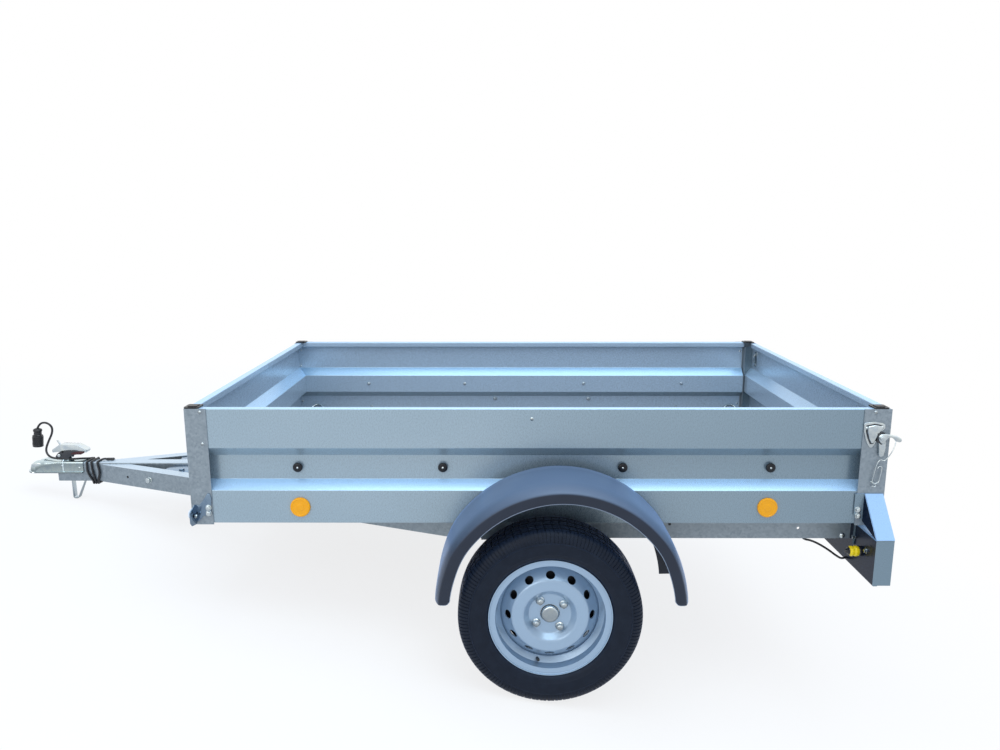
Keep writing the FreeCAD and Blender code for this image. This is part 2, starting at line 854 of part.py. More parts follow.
def coupling_handle():
    """Arched hollow grip on a pinned yoke, with its catch standing up in front."""
    rear = head_rear_x + handle_beyond_head
    front = rear - handle_length
    quarter = handle_length / 4
    low = handle_low
    crown = handle_crown
    outline = [(front, low + handle_round), (front + quarter, crown),
               (rear - quarter, crown - handle_sheet), (rear, low + handle_round),
               (rear - handle_sheet, low), (rear - quarter, low + handle_sheet),
               (front + quarter, low + handle_sheet), (front + handle_sheet, low)]
    radii = [handle_sheet, 2 * handle_round, 2 * handle_round, handle_sheet, handle_sheet / 2,
             handle_round, handle_round, handle_sheet / 2]
    side = side_solid(outline, radii, -handle_half_width, handle_half_width)
    plan = plan_solid(rectangle(front, rear, -handle_half_width, handle_half_width), low, crown,
                      handle_round)
    grip = side.common(plan)
    inner_half = handle_half_width - handle_sheet
    inside = side_solid([(front + quarter / 2, low - handle_sheet),
                         (front + quarter / 2, low + handle_round),
                         (front + quarter, crown - handle_sheet),
                         (rear - quarter, crown - 2 * handle_sheet),
                         (rear - quarter / 2, low + handle_round),
                         (rear - quarter / 2, low - handle_sheet)], 0.0, -inner_half, inner_half)
    grip = grip.cut(inside)
    foot = tube_top + head_sheet + 2 * seat_gap
    yoke_x = front + yoke_inset
    cheeks = []
    for sign in (-1, 1):
        y = sign * (yoke_half_gap + yoke_sheet / 2)
        cheeks.append(side_solid([(yoke_x, foot), (yoke_x + yoke_width, foot),
                                  (yoke_x + yoke_width / 2, crown - 2 * handle_sheet),
                                  (yoke_x - yoke_width / 2, crown - 2 * handle_sheet)],
                                 handle_sheet, y - yoke_sheet / 2, y + yoke_sheet / 2))
    pin_z = low + handle_sheet
    pin = rod(V(yoke_x + yoke_width / 4, -handle_half_width - yoke_sheet, pin_z),
              V(yoke_x + yoke_width / 4, handle_half_width + yoke_sheet, pin_z), yoke_pin_radius)
    catch = side_solid([(yoke_x - yoke_width, crown + catch_height),
                        (yoke_x - yoke_width + catch_width, crown + catch_height),
                        (yoke_x + catch_width, low), (yoke_x, low)],
                       catch_width / 3, -catch_width / 2, catch_width / 2)
    return fused([grip] + cheeks + [pin, catch])


def rest_loop():
    """Strip bent to a narrow U below the drawbar tube, wide at the front leg."""
    top = rail_bottom - seat_gap
    bottom_rear = loop_front_x + loop_bottom_run
    rear = loop_front_x + loop_rear_reach
    over = top + loop_strip
    line = [(loop_front_x, over), (loop_front_x, loop_low_z), (bottom_rear, loop_low_z),
            (rear, over)]
    outline, radii = folded_outline(line, loop_strip, loop_bend)
    strip = side_solid(outline, radii, -loop_wide_half, loop_wide_half)
    taper = [(loop_front_x - loop_strip, -loop_wide_half), (rear + loop_strip, -loop_narrow_half),
             (rear + loop_strip, loop_narrow_half), (loop_front_x - loop_strip, loop_wide_half)]
    return strip.common(plan_solid(taper, loop_low_z - loop_strip, top))


# Fender
def fender_wire(y, inset):
    """Closed profile of the mudguard at a depth, set in towards its centre."""
    spokes = []
    for half, height in fender_profile:
        spoke = V(half, 0, height - fender_z)
        spokes.append(spoke * (1.0 - inset / spoke.Length))
    centre = V(fender_x, y, fender_z)
    points = [centre + V(-spoke.x, 0, spoke.z) for spoke in spokes[:0:-1]]
    points += [centre + spoke for spoke in spokes]
    curve = Part.BSplineCurve()
    curve.interpolate(points)
    return Part.Wire([curve.toShape(), Part.makeLine(points[-1], points[0])])


def fender_block(y0, y1, inset0, inset1):
    return Part.makeLoft([fender_wire(y0, inset0), fender_wire(y1, inset1)], True, True)


def fender():
    """Moulded mudguard with a bevelled crown and a narrow side face, on the box wall."""
    wall = -(panel_half + seat_gap)
    thick = fender_sheet
    crown = fender_crown_inset
    crease = fender_crease_inset
    bevel_y = fender_bevel_width - fender_outer_y
    shell = fused([fender_block(wall, bevel_y, 0.0, crown),
                   fender_block(bevel_y, -fender_outer_y, crown, crease)])
    shell = shell.cut(fender_block(wall - thick, bevel_y, thick, thick + crown))
    shell = shell.cut(fender_block(bevel_y, thick - fender_outer_y, thick + crown, thick + crease))
    shell = shell.cut(fender_block(wall + thick, wall - 2 * thick, fender_flange, fender_flange))
    y0 = -fender_outer_y - thick
    y1 = -fender_outer_y + 2 * thick
    shell = shell.cut(fender_block(y0, y1, fender_lip_inset, fender_lip_inset))
    shell = shell.cut(box(-far, far, -far, 0, 0, fender_foot_z))
    half = fender_profile[-1][0] - fender_lip_inset
    size = fender_foot_round
    for sign in (-1, 1):
        ends = [fender_x + sign * (half - thick), fender_x + sign * (half + size)]
        corner = box(min(ends), max(ends), y0, y1, fender_foot_z - tiny, fender_foot_z + size)
        centre = V(ends[1], y0, fender_foot_z + size)
        corner = corner.cut(rod(centre, V(centre.x, y1, centre.z), size))
        shell = shell.cut(corner)
    return shell


# Lamp bar and lamps
def lamp_bar():
    """Folded plate across the tail, with end cheeks and plates for the rail ends."""
    half = bar_half_width
    line = [(bar_x + bar_depth, bar_top), (bar_x, bar_top), (bar_x, bar_bottom),
            (bar_x + bar_lip, bar_bottom)]
    outline, radii = folded_outline(line, bar_sheet, bar_bend)
    parts = [side_solid(outline, radii, -half, half)]
    cheek = box(bar_x + bar_bend, bar_x + bar_depth, -half, bar_sheet - half,
                bar_bottom + bar_bend, bar_top - bar_sheet / 2)
    rail_middle = -rail_half_spread + rail_flange / 2
    rail_plate = box(rail_end_x + seat_gap, bar_x + tiny, rail_middle - rail_plate_half,
                     rail_middle + rail_plate_half, rail_bottom - rail_plate_drop,
                     rail_top - rail_sheet - rail_plate_drop)
    return fused(parts + both_sides(cheek) + both_sides(rail_plate))


def lamp_carrier():
    """Flared bracket from the rear post down to the end of the lamp bar."""
    front = box_rear - carrier_front_inset
    rear = front + bar_depth
    skin = post_face - bar_sheet
    seam = post_face - bar_sheet / 2
    low_z = bar_top + seat_gap
    slope = V(0, seam + bar_half_width, carrier_top - low_z).normalize()
    out = V(0, -slope.z, slope.y)
    top_front = V(front, seam, carrier_top)
    low_front = V(front + carrier_lean, -bar_half_width, low_z)
    depth = V(bar_depth, 0, 0)
    corners = [top_front, low_front, low_front + depth, top_front + depth, top_front]
    strip = Part.Face(Part.makePolygon(corners)).extrude(out * bar_sheet)
    inset = out * (bar_sheet / 2)
    web = plate([top_front + inset, V(front, seam, carrier_low), low_front + inset], bar_sheet)
    flange = side_solid([(front + bar_sheet, carrier_top), (front - carrier_flange, carrier_top),
                         (front - carrier_flange, carrier_low + carrier_flange_rise),
                         (front + bar_sheet, carrier_low)], 0.0, skin, post_face)
    tail = side_solid(rectangle(front, rear, carrier_top - carrier_flange, carrier_top), 0.0,
                      skin, post_face)
    under = box(-far, far, -far, 0, 0, low_z)
    return fused([strip, web, flange, tail]).cut(under)


def rear_lamp():
    """Rounded housing with a slightly smaller lens block on it."""
    y0 = -(bar_half_width - lamp_end_inset)
    y1 = y0 + lamp_width
    z0 = (bar_bottom + bar_top - lamp_height) / 2
    z1 = z0 + lamp_height
    x0 = bar_x + bar_sheet + seat_gap
    base = cross_solid(rectangle(y0, y1, z0, z1), lamp_round, x0, x0 + lamp_base_depth)
    inset = lamp_lens_inset
    lens = cross_solid(rectangle(y0 + inset, y1 - inset, z0 + inset, z1 - inset),
                       lamp_round - inset, x0, x0 + lamp_depth)
    return fused([base, lens])


def lamp_connectors():
    """Round plug-in connectors on the front of the lamp bar."""
    x = bar_x - seat_gap
    y = -(bar_half_width - connector_inset)
    z = (bar_bottom + bar_top) / 2
    body = rod(V(x, y, z), V(x - connector_length, y, z), connector_radius)
    front = x - connector_length
    neck = Part.makeCone(connector_radius - sheet, connector_neck_radius, connector_neck_length,
                         V(front + tiny, y, z), V(-1, 0, 0))
    return pair(fused([body, neck]))


# Small pieces
def side_reflectors():
    discs = []
    straight = reflector_depth - reflector_bevel
    for x in (box_front + reflector_front_inset, box_rear - reflector_rear_inset):
        start = V(x, -panel_half - seat_gap, reflector_z)
        base = rod(start, start - V(0, straight, 0), reflector_radius)
        top = Part.makeCone(reflector_radius, reflector_radius - reflector_bevel, reflector_bevel,
                            start - V(0, straight - tiny, 0), V(0, -1, 0))
        discs.extend(both_sides(fused([base, top])))
    return Part.makeCompound(discs)


def front_bracket():
    """Bracket on the front post: a flange with an upper lobe and a wing bent outwards."""
    bend_x = box_front + front_flange_insets[0]
    rear_x = box_front + front_flange_insets[1]
    skin = post_face - front_plate_sheet
    line = [(rear_x, skin), (bend_x, skin), (bend_x - front_wing_lean, skin - front_wing_reach)]
    outline, radii = folded_outline(line[::-1], front_plate_sheet, bend_radius)
    shape = plan_solid(outline, front_flange_low, front_flange_top, radii)
    reach = max(shape.BoundBox.YMax - post_face, 0.0)
    shape.translate(V(0, -reach, 0))
    lobe = side_solid(rectangle(box_front + front_lobe_inset, rear_x,
                                front_flange_low, front_lobe_top), front_plate_sheet,
                      skin, post_face)
    return fused([shape, lobe])


def front_reflector():
    """Round reflector on the front of the bracket's wing."""
    lean = math.atan2(front_wing_lean, front_wing_reach)
    away = V(-math.cos(lean), math.sin(lean), 0)
    bend_x = box_front + front_flange_insets[0]
    middle_y = post_face - front_plate_sheet - front_wing_reach / 2
    middle_z = (front_flange_low + front_flange_top) / 2
    seat = V(bend_x - front_wing_lean / 2, middle_y, middle_z) + away * (front_plate_sheet + seat_gap)
    return rod(seat, seat + away * front_reflector_depth, front_reflector_radius)


def tarp_knobs():
    """Turned buttons along the recessed band of both walls."""
    outline = [(0, 0), (0, knob_stem_radius), (knob_stem_depth, knob_stem_radius),
               (knob_stem_depth, knob_radius), (knob_depth, knob_radius), (knob_depth, 0)]
    radii = [0, 0, 0, sheet, knob_round, 0]
    places = [box_front + inset for inset in knob_front_insets]
    places += [box_rear - inset for inset in knob_rear_insets]
    knobs = []
    for x in places:
        knob = turned(outline, radii)
        knob.translate(V(x, rib_depth - panel_half - seat_gap, knob_z))
        knobs.extend(both_sides(knob))
    return Part.makeCompound(knobs)


def lashing_rings():
    """Rings held to the floor by a strap, leaning back against the side wall."""
    lean = math.radians(ring_lean)
    reach = ring_radius + ring_wire
    wall = -(panel_half - sheet)
    top_y = wall + sheet + ring_wire
    centre_y = top_y + ring_radius * math.sin(lean)
    foot_z = floor_top + seat_gap
    centre_z = foot_z + ring_foot_sheet + ring_wire + ring_radius * math.cos(lean)
    foot_y = centre_y + ring_radius * math.sin(lean)
    rings = []
    for x in (box_front + ring_front_inset, box_rear - ring_rear_inset):
        ring = Part.makeTorus(ring_radius, ring_wire, V(x, centre_y, centre_z),
                              V(0, math.cos(lean), math.sin(lean)))
        foot = plan_solid(rectangle(x - ring_foot_length / 2, x + ring_foot_length / 2,
                                    foot_y - ring_foot_width / 2, foot_y + ring_foot_width / 2),
                          foot_z, foot_z + ring_foot_sheet, ring_foot_sheet)
        eye_z = foot_z + ring_foot_sheet + ring_wire - sheet
        strap = rod(V(x - ring_strap_half, foot_y, eye_z), V(x + ring_strap_half, foot_y, eye_z),
                    ring_strap_radius)
        strap = strap.cut(box(x - reach, x + reach, -far, 0, 0, foot_z + sheet))
        rings.extend(both_sides(fused([ring, foot, strap])))
    return Part.makeCompound(rings)


def latch():
    """Tailgate latch on the rear post: shield, over-centre lever and hooked tongue."""
    def from_corner(line):
        return [(box_rear + u, box_top + v) for u, v in line]

    skin = post_face - latch_sheet
    shield = side_solid(from_corner(shield_line), latch_sheet / 2, skin, post_face)
    lever = side_solid(from_corner(lever_line), latch_sheet / 2,
                       skin - latch_lever_thickness, skin + tiny)
    tongue = side_solid(from_corner(tongue_line), latch_sheet, skin - latch_tongue_thickness,
                        post_face)
    return fused([shield, lever, tongue])


# Lead
def cable_turns():
    """Turns of the plug lead round the drawbar tube, just behind the coupling."""
    turns = []
    radius = lead_diameter / 2
    off = radius + turn_gap
    y = tube_half_width + off
    low = rail_bottom - off - turn_slack
    high = tube_top + off
    first = head_rear_x + turn_behind_head
    for top, bottom in zip(turn_tops, turn_bottoms):
        corners = [V(first + bottom, -y, low), V(first + bottom, y, low),
                   V(first + top, y, high), V(first + top, -y, high)]
        path = rounded_wire(corners, [turn_bend] * 4)
        start = path.Edges[0].Vertexes[0].Point
        way = path.Edges[0].tangentAt(path.Edges[0].FirstParameter)
        circle = Part.Wire(Part.makeCircle(radius, start, way))
        turns.append(path.makePipeShell([circle], True, True))
    return Part.makeCompound(turns)


def lead_route():
    """Straight runs joined by tangent arcs through the chosen points."""
    points = [V(ball_x + x, y, ball_z + z) for x, y, z in lead_points]
    edges = []
    radii = []
    start = points[0]
    for before, corner, after in zip(points, points[1:], points[2:]):
        back = before - corner
        ahead = after - corner
        run = min(back.Length, ahead.Length)
        half = back.getAngle(ahead) / 2
        setback = lead_straight_share * run
        radius = setback * math.tan(half)
        radii.append(radius)
        bisector = (back.normalize() + ahead.normalize()).normalize()
        middle = corner + bisector * (radius / math.sin(half) - radius)
        first = corner + back * setback
        last = corner + ahead * setback
        edges.append(Part.makeLine(start, first))
        edges.append(Part.Arc(first, middle, last).toShape())
        start = last
    edges.append(Part.makeLine(start, points[-1]))
    return Part.Wire(edges), radii, points


def plug_lead():
    path, radii, points = lead_route()
    circle = Part.Wire(Part.makeCircle(lead_diameter / 2, points[0], points[1] - points[0]))
    tube = path.makePipeShell([circle], True, False)
    solid_volume = math.pi * lead_diameter ** 2 / 4 * path.Length
    print("lead radii", [round(radius, 1) for radius in radii])
    print("lead length", round(path.Length, 1), "volume ratio", round(tube.Volume / solid_volume, 4))
    return tube


def plug():
    """Round plug on the end of the lead, its neck uppermost."""
    points = lead_route()[2]
    way = V(-plug_lean, 0, -1.0).normalize()
    start = points[-1] + way * plug_seat
    shoulder = start + way * plug_neck_length
    neck = rod(start, shoulder + way * tiny, plug_neck_radius)
    collar = rod(start, start + way * plug_collar_length, plug_collar_radius)
    body = rod(shoulder, shoulder + way * plug_body_length, plug_body_radius)
    return fused([neck, collar, body])


def park_angle():
    """Tilt at which the rest loop's front bottom bend meets the ground."""
    rise = loop_low_z + loop_radius - axle_z
    across = loop_front_x + loop_radius
    lean = math.atan2(across, rise)
    return math.degrees(lean + math.acos((loop_radius - axle_z) / math.hypot(rise, across)))


def build():
    nodes = {}
    nodes["drawbar_tube"] = drawbar_tube()
    nodes["chassis_rail_left"] = rail_shape()
    nodes["drawbar_gussets"] = drawbar_gussets()
    nodes["rest_loop"] = rest_loop()
    nodes["coupling_head"] = coupling_head()
    nodes["coupling_handle"] = coupling_handle()
    nodes["crossmembers"] = crossmembers()
    nodes["rear_sill"] = rear_sill()
    nodes["axle_tube"] = axle_tube()
    nodes["axle_arm_left"] = axle_arm()
    nodes["tyre_left"] = tyre()
    nodes["rim_left"] = rim()
    nodes["hub_left"] = hub()
    nodes["fender_left"] = fender()
    nodes["floor_panel"] = floor_panel()
    nodes["side_panel_left"] = side_panel()
    nodes["front_panel"] = front_panel()
    nodes["tailgate_panel"] = tailgate_panel()
    nodes["corner_posts_front"] = pair(front_post())
    nodes["corner_posts_rear"] = pair(rear_post())
    nodes["corner_caps"] = corner_caps()
    nodes["lamp_bar"] = lamp_bar()
    nodes["lamp_carriers"] = pair(lamp_carrier())
    nodes["rear_lamps"] = pair(rear_lamp())
    nodes["side_reflectors"] = side_reflectors()
    nodes["front_brackets"] = pair(front_bracket())
    nodes["front_reflectors"] = pair(front_reflector())
    nodes["tarp_knobs"] = tarp_knobs()
    nodes["lashing_rings"] = lashing_rings()
    nodes["latches"] = pair(latch())
    nodes["hinge_sill"] = hinge_sill()
    nodes["hinge_gate"] = hinge_gate()
    nodes["lamp_connectors"] = lamp_connectors()
    nodes["cable_turns"] = cable_turns()
    nodes["plug_lead"] = plug_lead()
    nodes["plug"] = plug()
    for name in [name for name in nodes if name.endswith("_left")]:
        nodes[name.replace("_left", "_right")] = mirrored(nodes[name])
    return nodes


def main():
    nodes = build()
    tilt = park_angle()
    frame = FreeCAD.BoundBox()
    for name, shape in nodes.items():
        shape.rotate(V(0, 0, axle_z), V(0, 1, 0), -tilt)
        if name not in ("plug", "plug_lead"):
            frame.add(shape.optimalBoundingBox(False))
    shift = -(frame.XMin + frame.XMax) / 2
    print("tilt", round(tilt, 4), "shift", round(shift, 4))
    print("extent", round(frame.XLength, 1), round(frame.YLength, 1), round(frame.ZLength, 1),
          "low", round(frame.ZMin, 3), "middle", round((frame.YMin + frame.YMax) / 2, 3))
    os.makedirs("parts", exist_ok=True)
    for name, shape in nodes.items():
        shape.translate(V(shift, 0, 0))
        shape.exportStep("parts/" + name + ".step")


main()
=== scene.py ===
"""Looks of a parked single-axle utility trailer, modelled round its CAD frame."""
import json
import logging
import math
from collections.abc import Iterator
from contextlib import contextmanager
from dataclasses import dataclass, replace
from enum import Enum, IntEnum

import bpy
from mathutils import Matrix, Vector


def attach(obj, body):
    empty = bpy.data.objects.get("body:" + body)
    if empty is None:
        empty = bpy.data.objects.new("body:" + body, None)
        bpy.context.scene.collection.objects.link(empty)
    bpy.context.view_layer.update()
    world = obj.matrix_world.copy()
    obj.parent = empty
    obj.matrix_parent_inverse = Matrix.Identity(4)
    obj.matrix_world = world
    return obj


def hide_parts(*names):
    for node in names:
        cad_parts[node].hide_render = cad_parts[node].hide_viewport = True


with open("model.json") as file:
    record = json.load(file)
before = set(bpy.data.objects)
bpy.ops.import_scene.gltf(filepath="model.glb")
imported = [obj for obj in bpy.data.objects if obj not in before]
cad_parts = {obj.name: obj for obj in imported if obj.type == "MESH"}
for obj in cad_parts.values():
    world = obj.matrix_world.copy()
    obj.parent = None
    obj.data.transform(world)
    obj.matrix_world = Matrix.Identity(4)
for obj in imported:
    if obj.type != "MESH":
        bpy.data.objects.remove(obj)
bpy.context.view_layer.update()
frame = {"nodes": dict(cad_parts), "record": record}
LOG = logging.getLogger("trailer")
MM = 0.001

Piece = bpy.types.Object
Material = bpy.types.Material
Socket = bpy.types.NodeSocket
Colour = tuple[float, float, float]
Point = tuple[float, float, float]
Line = tuple[Point, ...]
Source = Socket | Colour | float
Outline = tuple[tuple[float, float], ...]
Steps = tuple[tuple[float, float], ...]

LEFT = (0.0, -1.0, 0.0)
RIGHT = (0.0, 1.0, 0.0)
UP = (0.0, 0.0, 1.0)
DOWN = (0.0, 0.0, -1.0)
FRONT = (-1.0, 0.0, 0.0)
REAR = (1.0, 0.0, 0.0)
SLOTS: dict[str, str] = {row["node"]: row["material_slot"] for row in frame["record"]["subparts"]}


class Body(Enum):
    """The bodies that a piece can ride on."""

    CHASSIS = "root"
    TAILGATE = "tailgate"
    WHEEL_LEFT = "wheel_left"
    WHEEL_RIGHT = "wheel_right"


class Side(IntEnum):
    """The two flanks, by the sign of their place across the trailer."""

    LEFT = -1
    RIGHT = 1

    @property
    def hand(self) -> str:
        """Its word in the names of nodes and pieces."""
        return self.name.lower()


class Band(Enum):
    """The steps in which a pitch of the tyre's tread is spun."""

    BLOCK = "block"
    RIB_GAP = "rib_gap"
    SIPE = "sipe"


@dataclass(frozen=True)
class Stance:
    """How the trailer stands: tipped nose down about its axle, then centred on the ground.

    Sizes in millimetres; the level trailer has its axle at x = 0 and the road at z = 0.
    """

    tilt_deg: float = 10.2815
    shift: float = 499.0811
    wheel_radius: float = 273.5

    def matrix(self) -> Matrix:
        """Matrix from the level trailer, in metres, to the parked frame.

        Returns:
            The matrix.
        """
        hub = Vector((0.0, 0.0, self.wheel_radius * MM))
        tip = Matrix.Rotation(-math.radians(self.tilt_deg), 4, "Y")
        slide = Matrix.Translation((self.shift * MM, 0.0, 0.0))
        return slide @ Matrix.Translation(hub) @ tip @ Matrix.Translation(-hub)

    def point(self, x: float, y: float, z: float) -> Vector:
        """A point of the level trailer, in millimetres, in the parked frame in metres."""
        return self.matrix() @ (Vector((x, y, z)) * MM)


STANCE = Stance()


class Patch:
    """Nodes of a material or of the world, and the links between them."""

    def __init__(self, tree: bpy.types.NodeTree) -> None:
        """Take a node tree.

        Args:
            tree: The tree.
        """
        self.nodes = tree.nodes
        self.links = tree.links

    def feed(self, node: bpy.types.Node, values: dict[str | int, Source]) -> None:
        """Set or link a node's inputs.

        Args:
            node: The node.
            values: Name or number of each input, with its value or source.
        """
        for name, value in values.items():
            socket = node.inputs[name]
            if isinstance(value, Socket):
                self.links.new(value, socket)
            elif socket.type == "RGBA":
                socket.default_value = (*value[:3], 1.0)
            else:
                socket.default_value = value

    def add(self, kind: str, values: dict[str | int, Source], output: str | int,
            **settings: str | bool) -> Socket:
        """Add a node.

        Args:
            kind: Its type, without the leading ShaderNode.
            values: Name or number of each input, with its value or source.
            output: Name or number of the output to return.
            settings: Further settings of the node.

        Returns:
            The output socket.
        """
        node = self.nodes.new("ShaderNode" + kind)
        for name, value in settings.items():
            setattr(node, name, value)
        self.feed(node, values)
        return node.outputs[output]

    def mix(self, factor: Socket, first: Socket | Colour, second: Socket | Colour) -> Socket:
        """Mix two colours.

        Args:
            factor: Factor socket.
            first: Colour at 0.
            second: Colour at 1.

        Returns:
            The colour socket.
        """
        return self.add("Mix", {0: factor, 6: first, 7: second}, 2, data_type="RGBA")

    def seen(self) -> Socket:
        """Factor that is 1 for what the camera sees, straight, mirrored or through glass.

        Returns:
            The factor socket.
        """
        rays = self.nodes.new("ShaderNodeLightPath").outputs
        total = rays["Is Camera Ray"]
        for name in ("Is Glossy Ray", "Is Transmission Ray"):
            total = self.add("Math", {0: total, 1: rays[name]}, "Value", operation="ADD", use_clamp=True)
        return total


class Board(Patch):
    """The shader nodes of one material."""

    def __init__(self, name: str) -> None:
        """Start a material with its principled shader and object coordinates.

        Args:
            name: Name of the material.
        """
        self.material = bpy.data.materials.new(name)
        self.material.use_nodes = True
        super().__init__(self.material.node_tree)
        self.shader = self.nodes["Principled BSDF"]
        self.coords = self.add("TexCoord", {}, "Object")

    def level(self, stretch: Point = (1.0, 1.0, 1.0)) -> Socket:
        """Object coordinates turned level with the trailer's box.

        Args:
            stretch: Scale along the trailer's length, width and height.

        Returns:
            The vector socket.
        """
        turn = (0.0, math.radians(STANCE.tilt_deg), 0.0)
        turned = self.add("Mapping", {"Rotation": turn, "Vector": self.coords}, "Vector")
        return self.add("Mapping", {"Scale": stretch, "Vector": turned}, "Vector")

    def noise(self, scale: float, detail: float = 3.0, where: Socket | None = None) -> Socket:
        """Fractal noise.

        Args:
            scale: Waves per metre.
            detail: Octaves.
            where: Coordinates, the object's own when left out.

        Returns:
            The factor socket.
        """
        values = {"Scale": scale, "Detail": detail, "Vector": where or self.coords}
        return self.add("TexNoise", values, "Fac")

    def cells(self, scale: float, where: Socket | None = None, output: str = "Color") -> Socket:
        """Voronoi cells.

        Args:
            scale: Cells per metre.
            where: Coordinates, the object's own when left out.
            output: Which output to return.

        Returns:
            The chosen socket.
        """
        return self.add("TexVoronoi", {"Scale": scale, "Vector": where or self.coords}, output)

    def ramp(self, source: Socket, *stops: tuple[float, Colour]) -> Socket:
        """Colour ramp.

        Args:
            source: Factor socket.
            stops: Pairs of position and colour.

        Returns:
            The colour socket.
        """
        node = self.nodes.new("ShaderNodeValToRGB")
        elements = node.color_ramp.elements
        while len(elements) < len(stops):
            elements.new(0.5)
        for element, (position, colour) in zip(elements, stops):
            element.position = position
            element.color = (*colour[:3], 1.0)
        self.links.new(source, node.inputs["Fac"])
        return node.outputs["Color"]

    def range(self, source: Socket, low: float, high: float, start: float = 0.0, end: float = 1.0
              ) -> Socket:
        """Map a factor to a range.

        Args:
            source: Factor socket.
            low: Value at the start.
            high: Value at the end.
            start: Factor that gives low.
            end: Factor that gives high.

        Returns:
            The value socket.
        """
        return self.add("MapRange", {"Value": source, "From Min": start, "From Max": end,
                                     "To Min": low, "To Max": high}, "Result")

    def faced(self, tone: Socket | Colour, colour: Socket | Colour, way: Point, low: float,
              high: float) -> Socket:
        """Turn a tone into another colour as the surface turns towards a way.

        Args:
            tone: Colour of the rest.
            colour: Colour of what faces that way.
            way: The way, in the parked frame.
            low: Cosine at which it starts.
            high: Cosine at which it is whole.

        Returns:
            The colour socket.
        """
        normal = self.add("TexCoord", {}, "Normal")
        towards = self.add("VectorMath", {0: normal, 1: way}, "Value", operation="DOT_PRODUCT")
        return self.mix(self.range(towards, 0.0, 1.0, low, high), tone, colour)

    def along(self, low: float, high: float) -> Socket:
        """Factor that rises from 0 to 1 along the trailer.

        Args:
            low: Place where it starts, in parked metres.
            high: Place where it is whole.

        Returns:
            The factor socket.
        """
        return self.range(self.add("SeparateXYZ", {"Vector": self.coords}, "X"), 0.0, 1.0, low, high)

    def bump(self, height: Socket, depth: float, strength: float = 1.0) -> None:
        """Give the shader a bump.

        Args:
            height: Height socket, 0 to 1.
            depth: Depth in metres.
            strength: Share of the effect.
        """
        values = {"Strength": strength, "Distance": depth, "Height": height}
        self.set(Normal=self.add("Bump", values, "Normal"))

    def set(self, **values: Source) -> None:
        """Set or link the shader's sockets.

        Args:
            values: Socket name, with underscores for spaces, and its value or source.
        """
        self.feed(self.shader, {name.replace("_", " "): value for name, value in values.items()})


@dataclass(frozen=True)
class GalvanisedSheet:
    """Zinc-coated wall sheet with a fine rolling grain, and painted light: a painted sky reflection on its
    up-facing ledges, painted shade on its forward faces and towards the rear, and its own colour on its inner
    faces.
    """

    name: str = "galvanised_sheet"
    dark: Colour = (0.295, 0.37, 0.41)
    light: Colour = (0.34, 0.415, 0.455)
    # Painted sky reflection, given to faces that turn upwards past the cosine below.
    ledge_sky_reflection: Colour = (0.48, 0.70, 0.92)
    ledge_reflection_from: float = 0.45
    # Painted shade on faces that turn forwards.
    front: Colour = (0.32, 0.395, 0.435)
    inward: Point = DOWN
    # Colour of the faces turned the inward way; the box walls set it lighter, as painted light inside the
    # box.
    inside: Colour = (0.32, 0.395, 0.435)
    # Painted shade: the sheet turns to this darker colour towards the rear, over the stretch on the next
    # line, in parked metres.
    tail: Colour = (0.20, 0.262, 0.30)
    rear_shade_reach: tuple[float, float] = (0.2, 1.45)
    rough: float = 0.27
    gloss: float = 0.5

    def make(self) -> Material:
        """Build the material.

        Returns:
            The material.
        """
        board = Board(self.name)
        rolled = board.noise(scale=2.5, detail=4.0, where=board.level((0.4, 1.0, 1.0)))
        grain = board.noise(scale=1500.0, detail=2.0, where=board.level((1.0, 1.0, 0.15)))
        tone = board.ramp(rolled, (0.3, self.dark), (0.7, self.light))
        # Painted shade, darker towards the rear.
        tone = board.mix(board.along(*self.rear_shade_reach), tone, self.tail)
        # Painted shade on forward faces.
        tone = board.faced(tone, self.front, FRONT, 0.6, 0.95)
        # Inner faces take the inside colour, painted light on the box walls.
        tone = board.faced(tone, self.inside, self.inward, 0.5, 0.9)
        # Painted sky reflection on the up-facing ledges.
        tone = board.faced(tone, self.ledge_sky_reflection, UP, self.ledge_reflection_from, self.ledge_reflection_from + 0.3)
        board.set(Base_Color=tone, Metallic=0.4, Specular_IOR_Level=self.gloss,
                  Roughness=board.range(grain, self.rough - 0.02, self.rough + 0.03))
        board.bump(grain, depth=0.000006, strength=0.15)
        return board.material


@dataclass(frozen=True)
class SpangledSteel:
    """Hot-dip galvanised steel with its frost-flower spangle, and painted light: paler on what faces up."""

    dark: Colour = (0.19, 0.225, 0.25)
    light: Colour = (0.31, 0.35, 0.375)
    # Painted light: colour of the faces that turn upwards.
    top: Colour = (0.62, 0.70, 0.76)
    flowers: float = 150.0

    def make(self) -> Material:
        """Build the material.

        Returns:
            The material.
        """
        board = Board("spangled_steel")
        warp = board.ramp(board.noise(scale=60.0, detail=2.0), (0.3, (0.3, 0.3, 0.3)), (0.7, (0.7, 0.7, 0.7)))
        tone = board.mix(board.noise(scale=9.0, detail=4.0), board.cells(self.flowers), warp)
        metal = board.ramp(tone, (0.15, self.dark), (0.85, self.light))
        # Up-facing faces are painted paler, as painted light.
        board.set(Base_Color=board.faced(metal, self.top, UP, 0.6, 0.9), Metallic=0.5,
                  Roughness=board.range(tone, 0.34, 0.52))
        board.bump(tone, depth=0.00006, strength=0.5)
        return board.material


